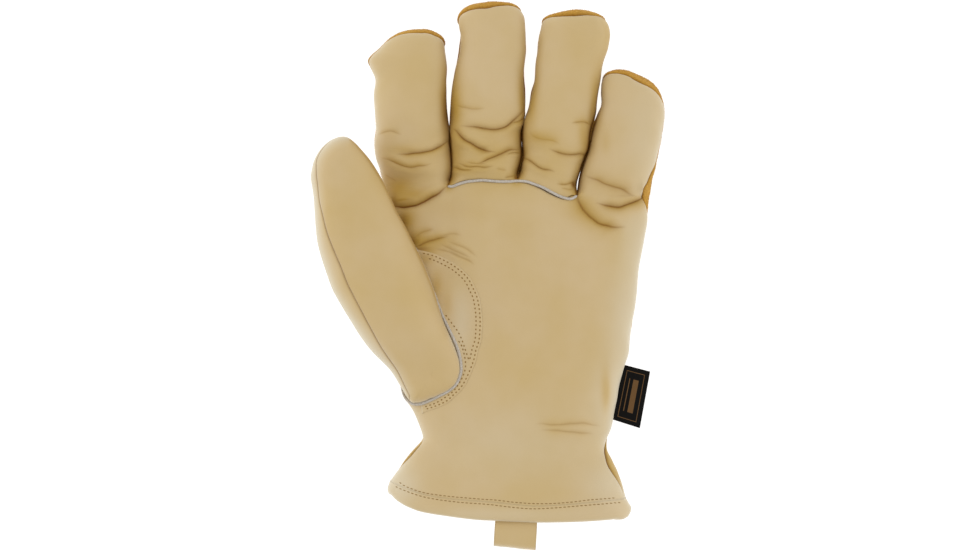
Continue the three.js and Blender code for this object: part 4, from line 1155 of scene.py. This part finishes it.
def hem_grid(side, sigma, border):
    """The hem's front or back: rows from the panel's last row down to the mouth."""
    share = np.linspace(0, 1, HEM_ROWS)
    left, right = curve(HEM_LEFT, HEM_ROWS), curve(HEM_RIGHT, HEM_ROWS)
    middle = (left + right) / 2
    rows = left, middle, right, *along(PALM_HEIGHTS, middle[:, 1])
    grid = span(rows, palm_oval, np.zeros((2, HEM_ROWS)), sigma, side)
    part = (grid[..., 0] - left[:, :1]) / (right[:, :1] - left[:, :1])
    grid[..., 1] += share[:, None] * (across_line(mouth, part) - mix(left[-1, 1], right[-1, 1], part))
    grid = soft_floor(grid) if side < 0 else grid
    return grid + (border - grid[0])[None] * (1 - share)[:, None, None]


def hem_relief(points):
    """The panel's own waves, a soft roll near the mouth and the edge itself turned in, with the panel's
    painted highlights.
    """
    edge = points[:, 1] - np.interp(points[:, 0], mouth[:, 0], mouth[:, 1])
    roll = 0.45 * np.exp(-(((edge - 3.2) / 1.9) ** 2))
    turn = np.clip(HEM_TURN - edge, 0, HEM_TURN)
    round_edge = HEM_TURN - np.sqrt(HEM_TURN**2 - turn**2)
    shift = (roll + all_waves(points, *HIDE_WAVES)) * ease(points[:, 2] / 3) - round_edge
    return shift, np.zeros(len(points)), -patches_at(points, PAINTED_HIGHLIGHTS)


hem_front = hem_grid(1, palm_sigma, palm_front[0])
hem_back = hem_grid(-1, back_sigma, cuff_grid[0])
hem_back[:, [0, -1]] = hem_front[:, [0, -1]]
patches = [
    (grid[::-1], np.full(grid.shape[:2], NO_SEAM), back)
    for grid, back in ((hem_front, False), (hem_back, True))
]
cuff_hem = hide("cuff_hem", patches, hem_relief, thickness=HEM_THICK, lined=False)

# Pull loop
# A 20 mm strap of the palm's leather, folded double to a flat loop that shows below the hem. Both
# its ends are sewn inside.

LOOP_X = (3.5, 24.2)
LOOP_STRAP = 1.5
# The loop's middle line as y and z, from inside the hem over the eye's end and back.
LOOP_LINE = [
    (-113, 33.9), (-118, 33.9), (-122, 34.2), (-125.5, 35.4), (-129.5, 36), (-132.2, 35.6), (-133.2, 34.3),
    (-133.5, 32.7), (-132.7, 31.2), (-130.2, 30.3), (-126.5, 30.4), (-122, 31.6), (-118, 32), (-113, 32),
]
line = curve(LOOP_LINE, 90)
y, z = line[:, :1], line[:, 1:]
across = np.linspace(0, 1, 26)
slant = -1.0 * (across - 0.5) * ease((-118 - y) / 10)
x = mix(*LOOP_X, across) - 0.7 * ease((-118 - y) / 16)
loop_grid = np.stack([x, y + 2.2 * slant, np.broadcast_to(z, x.shape)], axis=2)
patches = [(loop_grid, side_runs(loop_grid), False)]
hide("pull_loop", patches, plain_relief, thickness=LOOP_STRAP, round_off=0.5, line=0.15, lined=False)

# Side label
# A black woven tag caught in the little-finger side seam, left bare: only a thin tan border and plain
# bars are woven in.

LABEL = [(60.8, -71.8), (76, -76.8), (81.2, -48.4), (66.6, -44.5)]
LABEL_SIZE = (14.4, 27.8)
LABEL_THICK = 0.8
across, up = np.meshgrid(np.linspace(0, 1, 24), np.linspace(0, 1, 44))
corners = np.array(LABEL, float)
low_edge, high_edge = (mix(corners[a], corners[b], across[..., None]) for a, b in ((0, 1), (3, 2)))
drape = 17.2 - 3.4 * across**1.5 + 0.25 * np.sin(up * 5 + across)
label_points = raised(mix(low_edge, high_edge, up[..., None]), drape)
side_label = add_mesh("side_label", label_points.reshape(-1, 3), quads(np.arange(24 * 44).reshape(44, 24)))
weave = np.stack([across.ravel() * LABEL_SIZE[0], up.ravel() * LABEL_SIZE[1]], 1)
weave = weave[read(side_label.data.loops, "vertex_index", 1, int)]
side_label.data.uv_layers.new(name="weave").data.foreach_set("uv", weave.ravel())
thick = side_label.modifiers.new("thickness", "SOLIDIFY")
thick.thickness = LABEL_THICK * MM


def woven(name, ground, figure):
    """Woven tag: fine warp and weft in the bump; a thin border line and plain bars from the piece's
    own coordinates in mm."""
    kit = Nodes(name)
    place = kit.add("UVMap", "UV", uv_map="weave")
    x, y = kit.add("SeparateXYZ", "X", {0: place}).node.outputs[:2]
    width, length = LABEL_SIZE

    def box(left, right, inset):
        """1 from left to right and inset from both ends of the tag."""
        spans = ((x, left, right), (y, inset, length - inset))
        return kit.math("MULTIPLY", *(kit.math("COMPARE", v, (a + b) / 2, (b - a) / 2) for v, a, b in spans))

    border = kit.math("SUBTRACT", box(3.2, width - 2.2, 2.2), box(3.5, width - 2.5, 2.5))
    bars = kit.math("MAXIMUM", box(7.2, 9.8, 5.8), box(5.2, 5.6, 5.8))
    warp, weft = (
        kit.add("TexWave", "Fac", {"Vector": place, "Scale": scale}, bands_direction=axis)
        for axis, scale in (("X", 1.1), ("Y", 1.5))
    )
    tint = kit.blend(kit.math("MAXIMUM", border, bars), ground, figure)
    bump = (kit.math("ADD", warp, weft), 0.35, 0.0002)
    return kit.finish(tint, bump, Roughness=0.85, Specular_IOR_Level=0.12)


black_weave = woven("woven_label", (0.004, 0.0035, 0.003), (0.145, 0.075, 0.028))
finish_piece(side_label, "side_label", "woven_label", black_weave)

# Stitches
# Dark golden-brown thread, sunk in its holes: double rows round the crescent, a row along the thumb's
# piping and a double row round the hem, at about 12 stitches an inch.

PITCH, ROW_GAP, SINK = 2.1, 2.0, 0.12
PIPING_ROW = [
    (-21.5, -19.3), (-18.5, -23.3), (-15.5, -27.3), (-13.6, -30.8), (-12.1, -34.7), (-11.1, -37.7),
    (-9.6, -42.2),
]
PIPING_ROW_2 = [
    (-15, -32.2), (-13.1, -35.2), (-11.6, -40.7), (-11.3, -45.7), (-12.6, -50.1), (-14.1, -53.1),
    (-17, -57.1), (-20, -59.6), (-23.5, -62), (-27, -63.8), (-31.9, -65.5),
]
HEM_UPPER = [
    (-44.5, -102.6), (-41.1, -104.6), (-32.2, -107.4), (-20.9, -109), (-5.6, -110.3), (3.8, -110.9),
    (13.2, -112), (22.6, -112.6), (31.9, -112.6), (41.3, -112), (50.7, -111), (63, -110.4),
]
HEM_LOWER = [
    (-46.5, -104.8), (-42.6, -106.3), (-31.2, -109.7), (-15.4, -111.9), (-0.1, -113), (8.2, -114),
    (20.6, -115.1), (31.9, -114.8), (46.2, -113.8), (60.5, -112.9), (66, -112.8),
]


def thread(name, base):
    kit = Nodes(name)
    dark = tuple(c * 0.55 for c in base)
    return kit.finish(kit.blend(kit.noise(kit.place(), 2600, 2), dark, base), Roughness=0.7)


def stitch_run(tree, lines, length, width, start=0):
    """Capsules laid end to end along lines on a surface: one stitch of 6 rings by 8 sides, turned to
    each place's direction and the surface's normal. Point numbers begin at start."""
    turn = np.linspace(0, 2 * np.pi, 8, endpoint=False)
    reach = np.array([-0.5, -0.42, -0.2, 0.2, 0.42, 0.5])
    size = np.array([0.25, 0.75, 1.0, 1.0, 0.75, 0.25])[:, None]
    bead = [np.repeat(reach * length, 8), *((size * f(turn)).ravel() * width / 2 for f in (np.cos, np.sin))]
    at = rings(6, 8)
    caps = np.stack([at[0, :-1][::-1], at[-1, :-1]])
    points, sides, ends = [], [], []
    for line in lines:
        count = int(round(run_along(curve(line, 200))[-1] / PITCH))
        places = curve(line, 2 * count + 1)
        on, up = drop_on(tree, places[1::2])
        ahead = raised(np.gradient(places, axis=0)[1::2], np.zeros(count))
        ahead = unit(ahead - (ahead * up).sum(1, keepdims=True) * up)
        ways = ahead, np.cross(up, ahead), up
        turned = sum(b[None, :, None] * way[:, None] for b, way in zip(bead, ways))
        points.append((turned + (on - up * SINK)[:, None]).reshape(-1, 3))
        starts = start + 48 * np.arange(count)[:, None, None]
        sides.append((quads(at)[None] + starts).reshape(-1, 4))
        ends.append((caps[None] + starts).reshape(-1, 8))
        start += 48 * count
    return np.concatenate(points), np.concatenate(sides).tolist() + np.concatenate(ends).tolist()


brown_thread = thread("brown_thread", (0.36, 0.20, 0.045))
gold_thread = thread("gold_thread", (0.35, 0.20, 0.05))
outer_row = curve(OUTER_ROW, 60)
inner_row = offset(outer_row, -ROW_GAP)[2:40]
rows = stitch_run(tree_of(gusset), [outer_row, inner_row, PIPING_ROW, PIPING_ROW_2], 1.0, 0.72)
finish_piece(add_mesh("gusset_stitches", *rows), None, None, brown_thread)
points, faces = stitch_run(palm_tree, [HEM_UPPER], 1.5, 0.55)
lower, lower_faces = stitch_run(tree_of(cuff_hem), [HEM_LOWER], 1.5, 0.55, len(points))
rows = add_mesh("hem_stitches", np.concatenate([points, lower]), faces + lower_faces)
finish_piece(rows, None, None, gold_thread)

# Stage
# A plain pale floor, soft light from all round with a broad light above, and the camera straight over
# the glove as in the photo.

FOCAL, SENSOR, PLANE = 100.0, 36.0, 0.018
FRAME_WIDTH = 0.489
FLOOR = 6000
ground = [(x * FLOOR, y * FLOOR, 0) for x, y in ((-1, -1), (1, -1), (1, 1), (-1, 1))]
floor = add_mesh("floor", ground, [(0, 1, 2, 3)])
pale = Nodes("floor").finish((0.3, 0.3, 0.3), Emission_Color=(1, 1, 1), Emission_Strength=0.92, Roughness=0.9)
floor.data.materials.append(pale)

world = bpy.data.worlds.new("studio")
world.use_nodes = True
world.node_tree.nodes["Background"].inputs["Color"].default_value = (1.0, 1.0, 1.0, 1)
world.node_tree.nodes["Background"].inputs["Strength"].default_value = 0.75
bpy.context.scene.world = world


def place_object(name, data, place):
    item = bpy.data.objects.new(name, data)
    item.location = place
    bpy.context.scene.collection.objects.link(item)
    return item


# Each light's place, the point it aims at, its width and its power in watts.
LIGHTS = {
    "key": ((-0.5, 0.9, 1.3), (0, 0, 0), 0.9, 5),
    "right": ((1.5, -0.5, 0.45), (0, 0, 0.02), 1.1, 7),
    "left": ((-1.5, -0.2, 0.4), (0, 0, 0.02), 1.1, 5),
}
for name, (place, aim, size, power) in LIGHTS.items():
    light = bpy.data.lights.new(name, "AREA")
    light.size = size
    light.energy = power
    lamp = place_object(name, light, place)
    lamp.rotation_euler = (Vector(aim) - Vector(place)).to_track_quat("-Z", "Y").to_euler()
camera = bpy.data.cameras.new("camera")
camera.lens = FOCAL
camera.sensor_width = SENSOR
camera.clip_end = 50
eye = (0.35 * MM, 0.04 * MM, PLANE + FRAME_WIDTH * FOCAL / SENSOR)
bpy.context.scene.camera = place_object("camera", camera, eye)
bpy.context.scene.view_settings.view_transform = "Standard"
